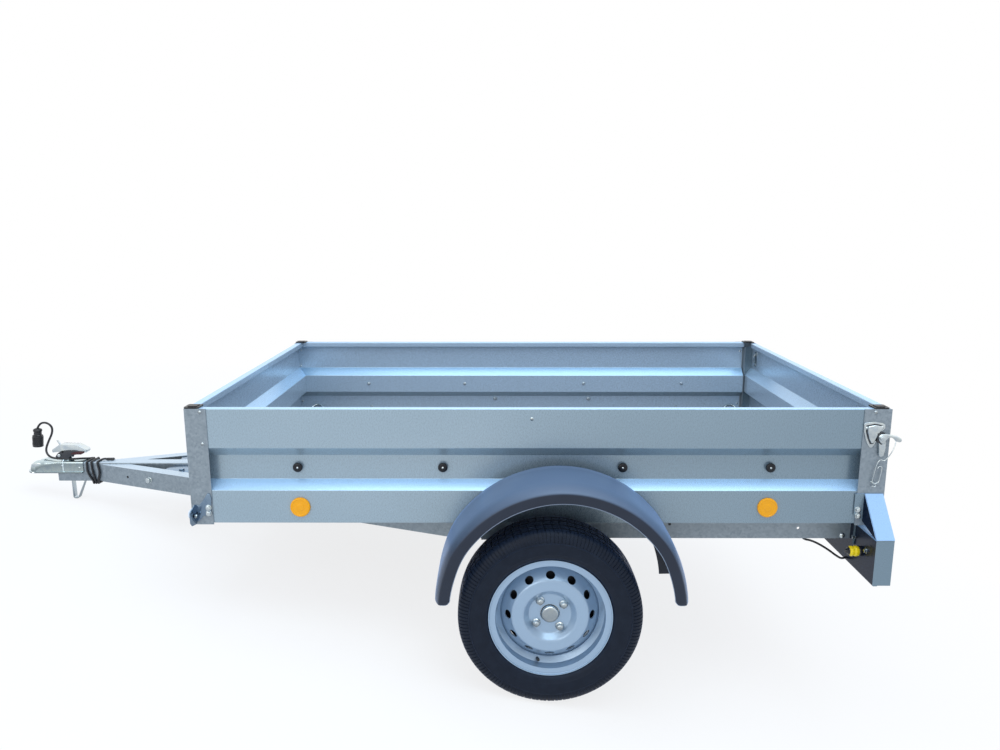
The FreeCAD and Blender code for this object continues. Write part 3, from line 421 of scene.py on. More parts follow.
@dataclass(frozen=True)
class ZincPlate:
    """Electroplated zinc of fittings and fasteners, with painted shade: its flanks and undersides are painted
    darker than what faces up.
    """

    name: str = "zinc_plate"
    tint: Colour = (0.66, 0.74, 0.78)
    # Share of the tint left on flanks and undersides, as painted shade.
    flank: float = 0.42
    warm: Colour = (0.95, 0.93, 0.86)
    cool: Colour = (0.84, 0.88, 0.95)

    def make(self) -> Material:
        """Build the material.

        Returns:
            The material.
        """
        board = Board(self.name)
        cloud = board.noise(scale=70.0, detail=4.0)
        warm = tuple(tint * share for tint, share in zip(self.tint, self.warm))
        cool = tuple(tint * share for tint, share in zip(self.tint, self.cool))
        bright = board.ramp(cloud, (0.3, cool), (0.55, self.tint), (0.75, warm))
        # Painted shade: flanks and undersides take this darker tone, what faces up keeps the full tint.
        painted_shade_tone = board.ramp(cloud, (0.3, tuple(c * self.flank * 0.92 for c in cool)),
                          (0.7, tuple(c * self.flank for c in self.tint)))
        board.set(Base_Color=board.faced(painted_shade_tone, bright, UP, -0.1, 0.75),
                  Metallic=0.95, Roughness=board.range(cloud, 0.16, 0.24))
        board.bump(board.noise(scale=400.0, detail=2.0), depth=0.00005, strength=0.3)
        return board.material


@dataclass(frozen=True)
class MouldedPlastic:
    """Grained polyethylene of fenders, caps and knobs, with a blue-tinted sheen and a painted sky reflection
    on what faces up.
    """

    name: str = "moulded_plastic"
    colour: Colour = (0.013, 0.018, 0.030)
    rough: float = 0.36
    grain: float = 1400.0
    # Weight of the blue-tinted sheen; above 0 it also turns on the painted sky reflection on up-facing faces.
    sheen_and_painted_sky: float = 0.0
    # Painted sky reflection colour for up-facing faces.
    painted_sky_colour: Colour = (0.09, 0.128, 0.19)
    haze: Colour = (0.42, 0.62, 1.0)

    def make(self) -> Material:
        """Build the material.

        Returns:
            The material.
        """
        board = Board(self.name)
        cloud = board.noise(scale=14.0, detail=3.0)
        lifted = tuple(min(1.0, c * 1.25) for c in self.colour)
        tone = board.ramp(cloud, (0.3, self.colour), (0.75, lifted))
        # Painted sky reflection: up-facing faces turn blue.
        if self.sheen_and_painted_sky > 0:
            tone = board.faced(tone, self.painted_sky_colour, UP, 0.2, 0.85)
        board.set(Base_Color=tone, Roughness=board.range(cloud, self.rough - 0.05, self.rough + 0.06),
                  Specular_IOR_Level=0.32, Sheen_Weight=self.sheen_and_painted_sky, Sheen_Roughness=0.35,
                  Sheen_Tint=self.haze)
        board.bump(board.cells(self.grain, output="Distance"), depth=0.0001, strength=0.35)
        return board.material


@dataclass(frozen=True)
class TyreRubber:
    """Black tyre rubber with a blue-tinted sheen, its tread painted paler than its walls, as painted light.
    """

    wall: tuple[Colour, Colour] = ((0.005, 0.009, 0.018), (0.009, 0.014, 0.025))
    tread: tuple[Colour, Colour] = ((0.010, 0.017, 0.034), (0.017, 0.027, 0.048))
    haze: Colour = (0.4, 0.55, 1.0)

    def make(self) -> Material:
        """Build the material.

        Returns:
            The material.
        """
        board = Board("tyre_rubber")
        cloud = board.noise(scale=40.0, detail=4.0)
        wall = board.ramp(cloud, (0.35, self.wall[0]), (0.8, self.wall[1]))
        tone = board.ramp(cloud, (0.35, self.tread[0]), (0.8, self.tread[1]))
        # Painted light: the tread stays paler, the side walls take the darker wall colour.
        for way in (LEFT, RIGHT):
            tone = board.faced(tone, wall, way, 0.35, 0.85)
        board.set(Base_Color=tone, Roughness=board.range(cloud, 0.4, 0.55), Specular_IOR_Level=0.17,
                  Sheen_Weight=0.2, Sheen_Roughness=0.3, Sheen_Tint=self.haze)
        board.bump(board.noise(scale=1500.0, detail=2.0), depth=0.00008, strength=0.5)
        return board.material


@dataclass(frozen=True)
class RimPaint:
    """Silver wheel paint with its metal flake."""

    tint: Colour = (0.33, 0.44, 0.56)
    flakes: float = 2500.0

    def make(self) -> Material:
        """Build the material.

        Returns:
            The material.
        """
        board = Board("rim_paint")
        low = tuple(c * 0.93 for c in self.tint)
        board.set(Base_Color=board.ramp(board.cells(self.flakes), (0.2, low), (0.8, self.tint)),
                  Metallic=0.55, Roughness=board.range(board.noise(scale=30.0), 0.3, 0.4), Coat_Weight=0.3)
        return board.material


@dataclass(frozen=True)
class FilmPly:
    """Plywood with a grey film and a pressed wire-mesh pattern."""

    film: Colour = (0.20, 0.20, 0.21)
    meshes: float = 260.0

    def make(self) -> Material:
        """Build the material.

        Returns:
            The material.
        """
        board = Board("film_ply")
        where = board.level()
        mesh = board.cells(self.meshes, where, "Distance")
        lifted = tuple(c * 1.5 for c in self.film)
        board.set(Base_Color=board.ramp(board.noise(6.0, 4.0, where), (0.3, self.film), (0.8, lifted)),
                  Roughness=board.range(mesh, 0.35, 0.6))
        board.bump(mesh, depth=0.0004, strength=0.7)
        return board.material


@dataclass(frozen=True)
class Lens:
    """Moulded prismatic plastic of lamps and reflectors."""

    name: str
    colour: Colour
    prisms: float = 450.0

    def make(self) -> Material:
        """Build the material.

        Returns:
            The material.
        """
        board = Board(self.name)
        prism = board.cells(self.prisms, board.level(), "Distance")
        deep = tuple(c * 0.9 for c in self.colour)
        board.set(Base_Color=board.ramp(prism, (0.1, self.colour), (0.6, deep)), Roughness=0.3,
                  Specular_IOR_Level=0.25, Coat_Weight=0.12)
        board.bump(prism, depth=0.0005, strength=0.5)
        return board.material


@dataclass(frozen=True)
class CableSheath:
    """Black sheath of the leads."""

    dark: Colour = (0.006, 0.007, 0.009)
    light: Colour = (0.014, 0.015, 0.018)

    def make(self) -> Material:
        """Build the material.

        Returns:
            The material.
        """
        board = Board("cable_sheath")
        cloud = board.noise(scale=120.0, detail=3.0)
        board.set(Base_Color=board.ramp(cloud, (0.3, self.dark), (0.8, self.light)),
                  Roughness=board.range(cloud, 0.25, 0.4))
        return board.material


class Finishes:
    """Every finish of the trailer, made once."""

    def __init__(self) -> None:
        """Make the materials."""
        self.sheet = GalvanisedSheet().make()
        self.spangle = SpangledSteel().make()
        self.zinc = ZincPlate().make()
        # Fender plastic with the sheen and the painted sky reflection on its crown.
        self.plastic = MouldedPlastic(sheen_and_painted_sky=0.55).make()
        # Pale grey for the fender's lip bead: a painted highlight along the lip.
        self.edge = MouldedPlastic("fender_lip_highlight", (0.22, 0.25, 0.30), 0.4).make()
        # Box walls: their inner faces are painted lighter, as painted light inside the box; the right wall
        # gets a dimmer painted sky reflection on its ledges, and the tailgate's forward faces, its inner
        # side, take the lighter inside colour.
        wall = GalvanisedSheet(inside=(0.47, 0.57, 0.66))
        self.walls = {
            "side_panel_left": replace(wall, name="left_wall", inward=RIGHT).make(),
            "side_panel_right": replace(wall, name="right_wall", inward=LEFT,
                                        ledge_sky_reflection=(0.36, 0.57, 0.78)).make(),
            "front_panel": replace(wall, name="front_wall", inward=REAR).make(),
            "tailgate_panel": replace(wall, name="gate_wall", inward=FRONT, front=wall.inside).make()}
        # Lamp bar sheet: near-black painted shade on its forward faces, and a painted sky reflection on every
        # face that turns at all upwards.
        self.bar = GalvanisedSheet("lamp_bar_painted_light_sheet", front=(0.006, 0.014, 0.034), ledge_sky_reflection=(0.40, 0.60, 0.86),
                                   ledge_reflection_from=0.02, gloss=0.12).make()
        self.rubber = TyreRubber().make()
        self.rim = RimPaint().make()
        self.ply = FilmPly().make()
        self.amber = Lens("amber_lens", (1.0, 0.40, 0.004)).make()
        self.red = Lens("red_lens", (0.6, 0.01, 0.01)).make()
        self.clear = Lens("clear_lens", (0.8, 0.82, 0.84)).make()
        self.yellow = MouldedPlastic("yellow_plastic", (0.85, 0.58, 0.01), 0.35).make()
        self.cable = CableSheath().make()
        self.knob = MouldedPlastic("knob_plastic", (0.006, 0.007, 0.010), 0.3, 2200.0).make()
        self.oiled = ZincPlate("oiled_steel", (0.085, 0.09, 0.10), 0.8).make()
        self.maroon = MouldedPlastic("maroon_plastic", (0.05, 0.010, 0.012), 0.35).make()
        self.blue_zinc = ZincPlate("blue_zinc", (0.30, 0.42, 0.56), 0.55).make()
        self.bright = ZincPlate("bright_zinc", (0.80, 0.88, 0.90), 0.62).make()
        self.pressed = ZincPlate("pressed_zinc", (0.66, 0.78, 0.80), 0.28).make()
        # Near-white zinc with no flank shade for the coupling head's lip and seam wires: a painted highlight
        # along them.
        self.highlight_zinc = ZincPlate("painted_highlight_zinc", (0.86, 0.97, 1.0), 1.0).make()


@dataclass(frozen=True)
class SoftLamp:
    """One soft square lamp, aimed at the trailer, in metres and watts."""

    name: str
    power: float
    side: float
    place: Point
    colour: Colour
    aim: Point = (0.2, 0.0, 0.5)

    def hang(self) -> None:
        """Hang the lamp in its place."""
        data = bpy.data.lights.new(self.name, "AREA")
        data.energy = self.power
        data.size = self.side
        data.color = self.colour
        lamp = bpy.data.objects.new(self.name, data)
        lamp.location = self.place
        way = Vector(self.aim) - Vector(self.place)
        lamp.rotation_euler = way.to_track_quat("-Z", "Y").to_euler()
        bpy.context.collection.objects.link(lamp)


@dataclass(frozen=True)
class Studio:
    """Plain pale floor, soft light, and the camera where the photographer stood."""

    focal_px: float = 775.4
    frame_px: float = 1000.0
    sensor_mm: float = 36.0
    eye: Point = (-138.1, -2942.4, 1413.8)
    pitch_deg: float = 11.22
    yaw_deg: float = 0.256
    roll_deg: float = -0.031
    floor_size: float = 120.0
    near_white: float = 0.8
    near_reach: float = 1.2
    far_reach: float = 3.2
    sky: Colour = (0.62, 0.76, 0.98)
    floor_dark: Colour = (0.9, 0.9, 0.9)
    floor_light: Colour = (0.92, 0.92, 0.92)
    far_clip: float = 100.0
    lamps: tuple[SoftLamp, ...] = (
        SoftLamp("sky_panel", power=125.0, side=4.0, place=(0.0, -1.0, 4.5), colour=(0.78, 0.92, 1.0)),
        SoftLamp("front_panel_light", power=45.0, side=3.0, place=(-2.5, -4.5, 2.4),
                 colour=(1.0, 0.98, 0.95)))

    def camera(self) -> None:
        """Place the camera at the photograph's viewing angle, level with the trailer's box."""
        data = bpy.data.cameras.new("photo_camera")
        data.sensor_width = self.sensor_mm
        data.lens = self.focal_px / self.frame_px * self.sensor_mm
        data.clip_end = self.far_clip
        camera = bpy.data.objects.new("photo_camera", data)
        bpy.context.collection.objects.link(camera)
        upright = Matrix.Rotation(math.radians(90.0 - self.pitch_deg), 4, "X")
        yaw = Matrix.Rotation(math.radians(self.yaw_deg), 4, "Z")
        roll = Matrix.Rotation(math.radians(self.roll_deg), 4, "Z")
        place = Matrix.Translation(Vector(self.eye) * MM)
        camera.matrix_world = STANCE.matrix() @ place @ yaw @ upright @ roll
        bpy.context.scene.camera = camera

    def floor(self) -> None:
        """Make the pale floor: lit and shadowed near the trailer, plain white far from it."""
        bpy.ops.object.select_all(action="DESELECT")
        bpy.ops.mesh.primitive_plane_add(size=self.floor_size)
        floor = bpy.context.active_object
        floor.name = "studio_floor"
        board = Board("studio_floor")
        board.set(Base_Color=board.ramp(board.noise(2.0), (0.3, self.floor_dark), (0.7, self.floor_light)),
                  Roughness=0.9, Specular_IOR_Level=0.1)
        distance = board.add("VectorMath", {0: board.coords}, "Value", operation="LENGTH")
        spread = board.range(distance, self.near_white, 1.0, self.near_reach, self.far_reach)
        share = board.add("Math", {0: spread, 1: board.seen()}, "Value", operation="MULTIPLY")
        glow = board.add("Emission", {"Strength": 1.0}, "Emission")
        surface = board.add("MixShader", {"Fac": share, 1: board.shader.outputs["BSDF"], 2: glow}, "Shader")
        board.feed(board.nodes["Material Output"], {"Surface": surface})
        floor.data.materials.append(board.material)

    def world(self) -> None:
        """Light the scene softly from all round, white where the camera sees past the floor."""
        world = bpy.data.worlds.new("studio")
        world.use_nodes = True
        patch = Patch(world.node_tree)
        colour = patch.mix(patch.seen(), self.sky, (1.0, 1.0, 1.0))
        patch.feed(patch.nodes["Background"], {"Color": colour, "Strength": 1.0})
        bpy.context.scene.world = world

    def build(self) -> None:
        """Set up camera, floor, light and colour handling."""
        self.camera()
        self.floor()
        self.world()
        for lamp in self.lamps:
            lamp.hang()
        bpy.context.scene.view_settings.view_transform = "Standard"
        LOG.info("studio ready")


def seat(x: float, y: float, z: float, way: Point = UP, turn: float = 0.0) -> Matrix:
    """Place of a piece whose own upright points a given way.

    Args:
        x: Place along the level trailer, in millimetres.
        y: Place across it.
        z: Height.
        way: Direction of the piece's upright.
        turn: Turn about its upright, in degrees.

    Returns:
        The place in metres.
    """
    upright = Vector(way).to_track_quat("Z", "Y").to_matrix().to_4x4()
    spin = Matrix.Rotation(math.radians(turn), 4, "Z")
    return Matrix.Translation(Vector((x, y, z)) * MM) @ upright @ spin


class Bench:
    """Hand tools that shape one mesh at a time, in the level trailer's metres."""

    merge: float = 0.02 * MM

    @staticmethod
    def clear() -> None:
        """Select nothing."""
        bpy.ops.object.select_all(action="DESELECT")

    @staticmethod
    def pick(piece: Piece) -> None:
        """Select one piece and make it active.

        Args:
            piece: The piece.
        """
        Bench.clear()
        piece.select_set(True)
        bpy.context.view_layer.objects.active = piece

    @staticmethod
    @contextmanager
    def editing(selected: str = "") -> Iterator[None]:
        """Open the active mesh in edit mode, and close it again.

        Args:
            selected: SELECT or DESELECT for all or none of it, or nothing to leave it as it is.

        Yields:
            Nothing, while it is open.
        """
        bpy.ops.object.mode_set(mode="EDIT")
        if selected:
            bpy.ops.mesh.select_all(action=selected)
        yield
        bpy.ops.object.mode_set(mode="OBJECT")

    @staticmethod
    def spin(steps: int, angle: float, dupli: bool = False) -> None:
        """Spin the open mesh about the axis across the trailer.

        Args:
            steps: Steps of the spin.
            angle: Its whole angle in radians.
            dupli: Whether it sets out copies, and doesn't sweep.
        """
        bpy.ops.mesh.spin(steps=steps, angle=angle, center=(0.0, 0.0, 0.0), axis=(0.0, 1.0, 0.0), dupli=dupli)

    @staticmethod
    def unselect(piece: Piece, kind: str) -> None:
        """Pick a piece with none of its mesh selected.

        Args:
            piece: The piece.
            kind: FACE or EDGE, for what is to be selected next.
        """
        Bench.pick(piece)
        with Bench.editing("DESELECT"):
            bpy.ops.mesh.select_mode(type=kind)

    @staticmethod
    def outwards() -> None:
        """Point every face of the open mesh outwards."""
        bpy.ops.mesh.select_all(action="SELECT")
        bpy.ops.mesh.normals_make_consistent(inside=False)

    @staticmethod
    def link(name: str, data: bpy.types.ID) -> Piece:
        """Put a mesh or curve into the scene.

        Args:
            name: Name of the piece.
            data: Its mesh or curve.

        Returns:
            The piece.
        """
        piece = bpy.data.objects.new(name, data)
        bpy.context.collection.objects.link(piece)
        return piece

    @staticmethod
    def turned(name: str, steps: Steps, sides: int = 32) -> Piece:
        """Extrude a disc step by step into a turned piece about its own upright.

        Args:
            name: Name of the piece.
            steps: Pairs of height and radius in millimetres, from the foot up.
            sides: Sides of the disc.

        Returns:
            The piece.
        """
        Bench.clear()
        height, radius = steps[0]
        bpy.ops.mesh.primitive_circle_add(vertices=sides, radius=radius * MM, fill_type="NGON",
                                          location=(0.0, 0.0, height * MM))
        piece = bpy.context.active_object
        piece.name = name
        with Bench.editing("SELECT"):
            for (low, narrow), (high, wide) in zip(steps, steps[1:]):
                rise = (0.0, 0.0, (high - low) * MM)
                bpy.ops.mesh.extrude_region_move(TRANSFORM_OT_translate={"value": rise})
                share = wide / narrow
                bpy.ops.transform.resize(value=(share, share, 1.0), center_override=(0.0, 0.0, high * MM))
            Bench.outwards()
        piece.data.transform(piece.matrix_world)
        piece.matrix_world = Matrix.Identity(4)
        return piece

    @staticmethod
    def drawn(name: str, corners: list[Point], fill: str = "NOTHING") -> Piece:
        """Draw a closed outline by moving the corners of a circle.

        Args:
            name: Name of the piece.
            corners: Corners in millimetres, in order.
            fill: NGON for one face inside it, or NOTHING.

        Returns:
            The piece.
        """
        Bench.clear()
        bpy.ops.mesh.primitive_circle_add(vertices=len(corners), radius=1.0, fill_type=fill)
        piece = bpy.context.active_object
        piece.name = name
        for vertex, corner in zip(piece.data.vertices, corners):
            vertex.co = [value * MM for value in corner]
        return piece

    @staticmethod
    def plate(name: str, outline: Outline, thickness: float, bevel: float, segments: int = 2) -> Piece:
        """Cut a flat plate to an outline, thicken it and break its edges.

        Args:
            name: Name of the piece.
            outline: Corners in millimetres, in order.
            thickness: Thickness in millimetres.
            bevel: Width of its broken edges in millimetres.
            segments: Rows of faces across an edge.

        Returns:
            The piece.
        """
        piece = Bench.drawn(name, [(across, along, 0.0) for across, along in outline], "NGON")
        with Bench.editing("SELECT"):
            bpy.ops.mesh.extrude_region_move(TRANSFORM_OT_translate={"value": (0.0, 0.0, thickness * MM)})
            Bench.outwards()
        Bench.bevel(piece, bevel, segments)
        return piece

    @staticmethod
    def bevel(piece: Piece, width: float, segments: int = 2, angle: float = 30.0) -> None:
        """Break the sharp edges of a piece.

        Args:
            piece: The piece.
            width: Width in millimetres.
            segments: Rows of faces across the edge.
            angle: Least angle of an edge that is broken, in degrees.
        """
        modifier = piece.modifiers.new("broken_edges", "BEVEL")
        modifier.width = width * MM
        modifier.segments = segments
        modifier.limit_method = "ANGLE"
        modifier.angle_limit = math.radians(angle)
        Bench.pick(piece)
        bpy.ops.object.modifier_apply(modifier=modifier.name)

    @staticmethod
    def cord(name: str, points: list[Vector], radius: float, roundness: int, steps: int) -> Piece:
        """Lay a round cord on one smooth line.

        Args:
            name: Name of the piece.
            points: Control points in metres.
            radius: Radius in millimetres.
            roundness: Bevel resolution of its section.
            steps: Steps from one control point to the next.

        Returns:
            The piece, as a curve.
        """
        curve = bpy.data.curves.new(name, "CURVE")
        curve.dimensions = "3D"
        curve.bevel_depth = radius * MM
        curve.bevel_resolution = roundness
        curve.resolution_u = steps
        curve.use_fill_caps = True
        spline = curve.splines.new("NURBS")
        spline.points.add(len(points) - 1)
        for knot, point in zip(spline.points, points):
            knot.co = (*point, 1.0)
        spline.order_u = 3
        spline.use_endpoint_u = True
        return Bench.link(name, curve)

    @staticmethod
    def wire(name: str, points: list[Point], radius: float) -> Piece:
        """Bend a round wire through a smooth line.

        Args:
            name: Name of the piece.
            points: Control points in millimetres.
            radius: Radius in millimetres.

        Returns:
            The piece, as a mesh.
        """
        Bench.pick(Bench.cord(name, [Vector(point) * MM for point in points], radius, 3, 6))
        bpy.ops.object.convert(target="MESH")
        return bpy.context.active_object

    @staticmethod
    def refined(name: str, node: str, bevel: float, angle: float = 30.0) -> Piece:
        """Copy a CAD node's mesh, merge its corners and break its edges.

        Args:
            name: Name of the piece.
            node: The CAD node that it stands for.
            bevel: Width of its broken edges in millimetres.
            angle: Least angle of an edge that is broken, in degrees.

        Returns:
            The piece, already in its place on the parked trailer.
        """
        piece = Bench.link(name, frame["nodes"][node].data.copy())
        Bench.pick(piece)
        with Bench.editing("SELECT"):
            bpy.ops.mesh.remove_doubles(threshold=Bench.merge)
            bpy.ops.mesh.dissolve_limited(angle_limit=math.radians(0.3))
        bpy.ops.mesh.customdata_custom_splitnormals_clear()
        Bench.bevel(piece, bevel, 2, angle)
        return piece

    @staticmethod
    def copies(piece: Piece, places: list[Matrix]) -> list[Piece]:
        """Set a copy of a piece, with its own mesh, at each place.

        Args:
            piece: The piece, which becomes the first copy.
            places: The places.

        Returns:
            All the copies.
        """
        spares = [piece]
        for _ in places[1:]:
            spare = piece.copy()
            spare.data = piece.data.copy()
            bpy.context.collection.objects.link(spare)
            spares.append(spare)
        for spare, place in zip(spares, places):
            spare.data.transform(place)
            if place.determinant() < 0:
                spare.data.flip_normals()
        return spares

    @staticmethod
    def joined(name: str, pieces: list[Piece]) -> Piece:
        """Join pieces into one mesh.

        Args:
            name: Name of the result.
            pieces: The pieces.

        Returns:
            The joined piece.
        """
        Bench.clear()
        for piece in pieces:
            piece.select_set(True)
        bpy.context.view_layer.objects.active = pieces[0]
        if len(pieces) > 1:
            bpy.ops.object.join()
        pieces[0].name = name
        return pieces[0]

    @staticmethod
    def repeated(name: str, piece: Piece, places: list[Matrix]) -> Piece:
        """Set a copy of a piece at each place, and join them all under one name."""
        return Bench.joined(name, Bench.copies(piece, places))


class Fitter:
    """Finishes pieces and sets them on the trailer's bodies."""

    def __init__(self, finishes: Finishes) -> None:
        """Take the finishes.

        Args:
            finishes: The finishes.
        """
        self.finishes = finishes
        self.by_slot = {
            "tyre": finishes.rubber, "rim_paint": finishes.rim, "zinc": finishes.zinc,
            "black_plastic": finishes.plastic, "plywood": finishes.ply,
            "galvanised_sheet": finishes.sheet, "spangled_steel": finishes.spangle,
            "lamp_plastic": finishes.red, "amber_plastic": finishes.amber,
            "clear_plastic": finishes.clear, "yellow_plastic": finishes.yellow,
            "cable_rubber": finishes.cable,
        }

    def fit(self, piece: Piece, slot: str, body: Body = Body.CHASSIS,
            material: Material | None = None, instead_of: tuple[str, ...] = (),
            smooth: float = 35.0, parked: bool = False) -> Piece:
        """Dress a finished piece and ride it on its body.

        Args:
            piece: The piece, in the level trailer's metres.
            slot: The record's material slot.
            body: The body that it rides on.
            material: Its finish, when it isn't the slot's own.
            instead_of: CAD nodes that it stands for.
            smooth: Edges below this angle are shaded smooth, in degrees.
            parked: Whether it is already in the parked frame.

        Returns:
            The piece.
        """
        if not parked:
            piece.data.transform(STANCE.matrix())
        self.coat(piece.data, material or self.by_slot[slot])
        Bench.pick(piece)
        bpy.ops.object.shade_smooth_by_angle(angle=math.radians(smooth))
        if instead_of:
            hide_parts(*instead_of)
        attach(piece, body.value)
        LOG.info("%s rides on %s as %s, %d faces", piece.name, body.value, slot, len(piece.data.polygons))
        return piece

    def dress_nodes(self) -> None:
        """Give every CAD node its finish: its own where it has one, else that of the record's slot."""
        bar = self.finishes.bar
        own = {"lamp_bar": bar, "lamp_carriers": bar, "corner_caps": self.finishes.knob,
               **self.finishes.walls}
        for node, slot in SLOTS.items():
            material = own.get(node, self.by_slot[slot])
            self.coat(frame["nodes"][node].data, material)
            LOG.info("dressed %s with %s", node, material.name)

    @staticmethod
    def coat(mesh: bpy.types.Mesh, material: Material) -> None:
        """Make a material the only one of a mesh."""
        mesh.materials.clear()
        mesh.materials.append(material)


@dataclass
class SubAssembly:
    """A sub-assembly of the trailer, whose pieces the fitter sets in place."""

    fitter: Fitter

    @property
    def finishes(self) -> Finishes:
        """The trailer's finishes."""
        return self.fitter.finishes

    def fasten(self, name: str, part: Piece, places: list[Matrix], material: Material | None = None) -> None:
        """Fit a zinc-plated part at all its places, as one piece.

        Args:
            name: Name of the piece.
            part: The part.
            places: Its places.
            material: Its finish, when it isn't the slot's own.
        """
        self.fitter.fit(Bench.repeated(name, part, places), "zinc", material=material)


def both_hands(rows: Outline, y: float, turn: float = 0.0, swirl: float = 0.0) -> list[Matrix]:
    """Places on the left and right flank that face outwards.

    Args:
        rows: Places along the trailer and heights, in millimetres.
        y: Distance from the centre line.
        turn: Turn about the outward way, in degrees.
        swirl: Further turn for each millimetre of height, for bolts that don't all stand alike.

    Returns:
        A left and a right place for each row.
    """
    return [seat(x, side * y, z, (0.0, side, 0.0), -side * (turn + swirl * z))
            for x, z in rows for side in Side]


def flank(side: Side, y: float) -> Matrix:
    """Place that lays a flat piece, drawn along the trailer and upwards, on a flank.

    Args:
        side: The flank.
        y: Distance of its back from the centre line, in millimetres.

    Returns:
        The place, mirrored on the right.
    """
    return Matrix(((1.0, 0.0, 0.0, 0.0), (0.0, 0.0, side, side * y * MM), (0.0, 1.0, 0.0, 0.0),
                   (0.0, 0.0, 0.0, 1.0)))


@dataclass(frozen=True)
class Fastener:
    """Bolts, rivets and screws, sizes in millimetres."""

    across: float = 11.0
    head: float = 6.0
    washer: float = 9.0
    washer_sheet: float = 1.6

    def hex_bolt(self, name: str) -> Piece:
        """Hexagon head with a broken top on its washer.

        Args:
            name: Name of the piece.

        Returns:
            The bolt, its seat at the origin.
        """
        half = self.across / math.sqrt(3.0)
        low = self.washer_sheet
        washer = Bench.turned(name + "_washer", ((-0.3, self.washer), (low * 0.7, self.washer),
                                                 (low, self.washer * 0.93)), 24)
        top = low + self.head
        head = Bench.turned(name, ((low - 0.2, half), (top - 1.0, half), (top - 0.3, half * 0.9),
                                   (top, half * 0.72)), 6)
        return Bench.joined(name, [head, washer])

    @staticmethod
    def dome(name: str, radius: float, rise: float) -> Piece:
        """Domed head of a rivet.

        Args:
            name: Name of the piece.
            radius: Radius of the head.
            rise: Height of the dome.

        Returns:
            The rivet, its seat at the origin.
        """
        steps = ((-0.3, radius), (0.15 * rise, radius), (0.5 * rise, 0.85 * radius),
                 (0.8 * rise, 0.58 * radius), (rise, 0.22 * radius))
        return Bench.turned(name, steps, 20)


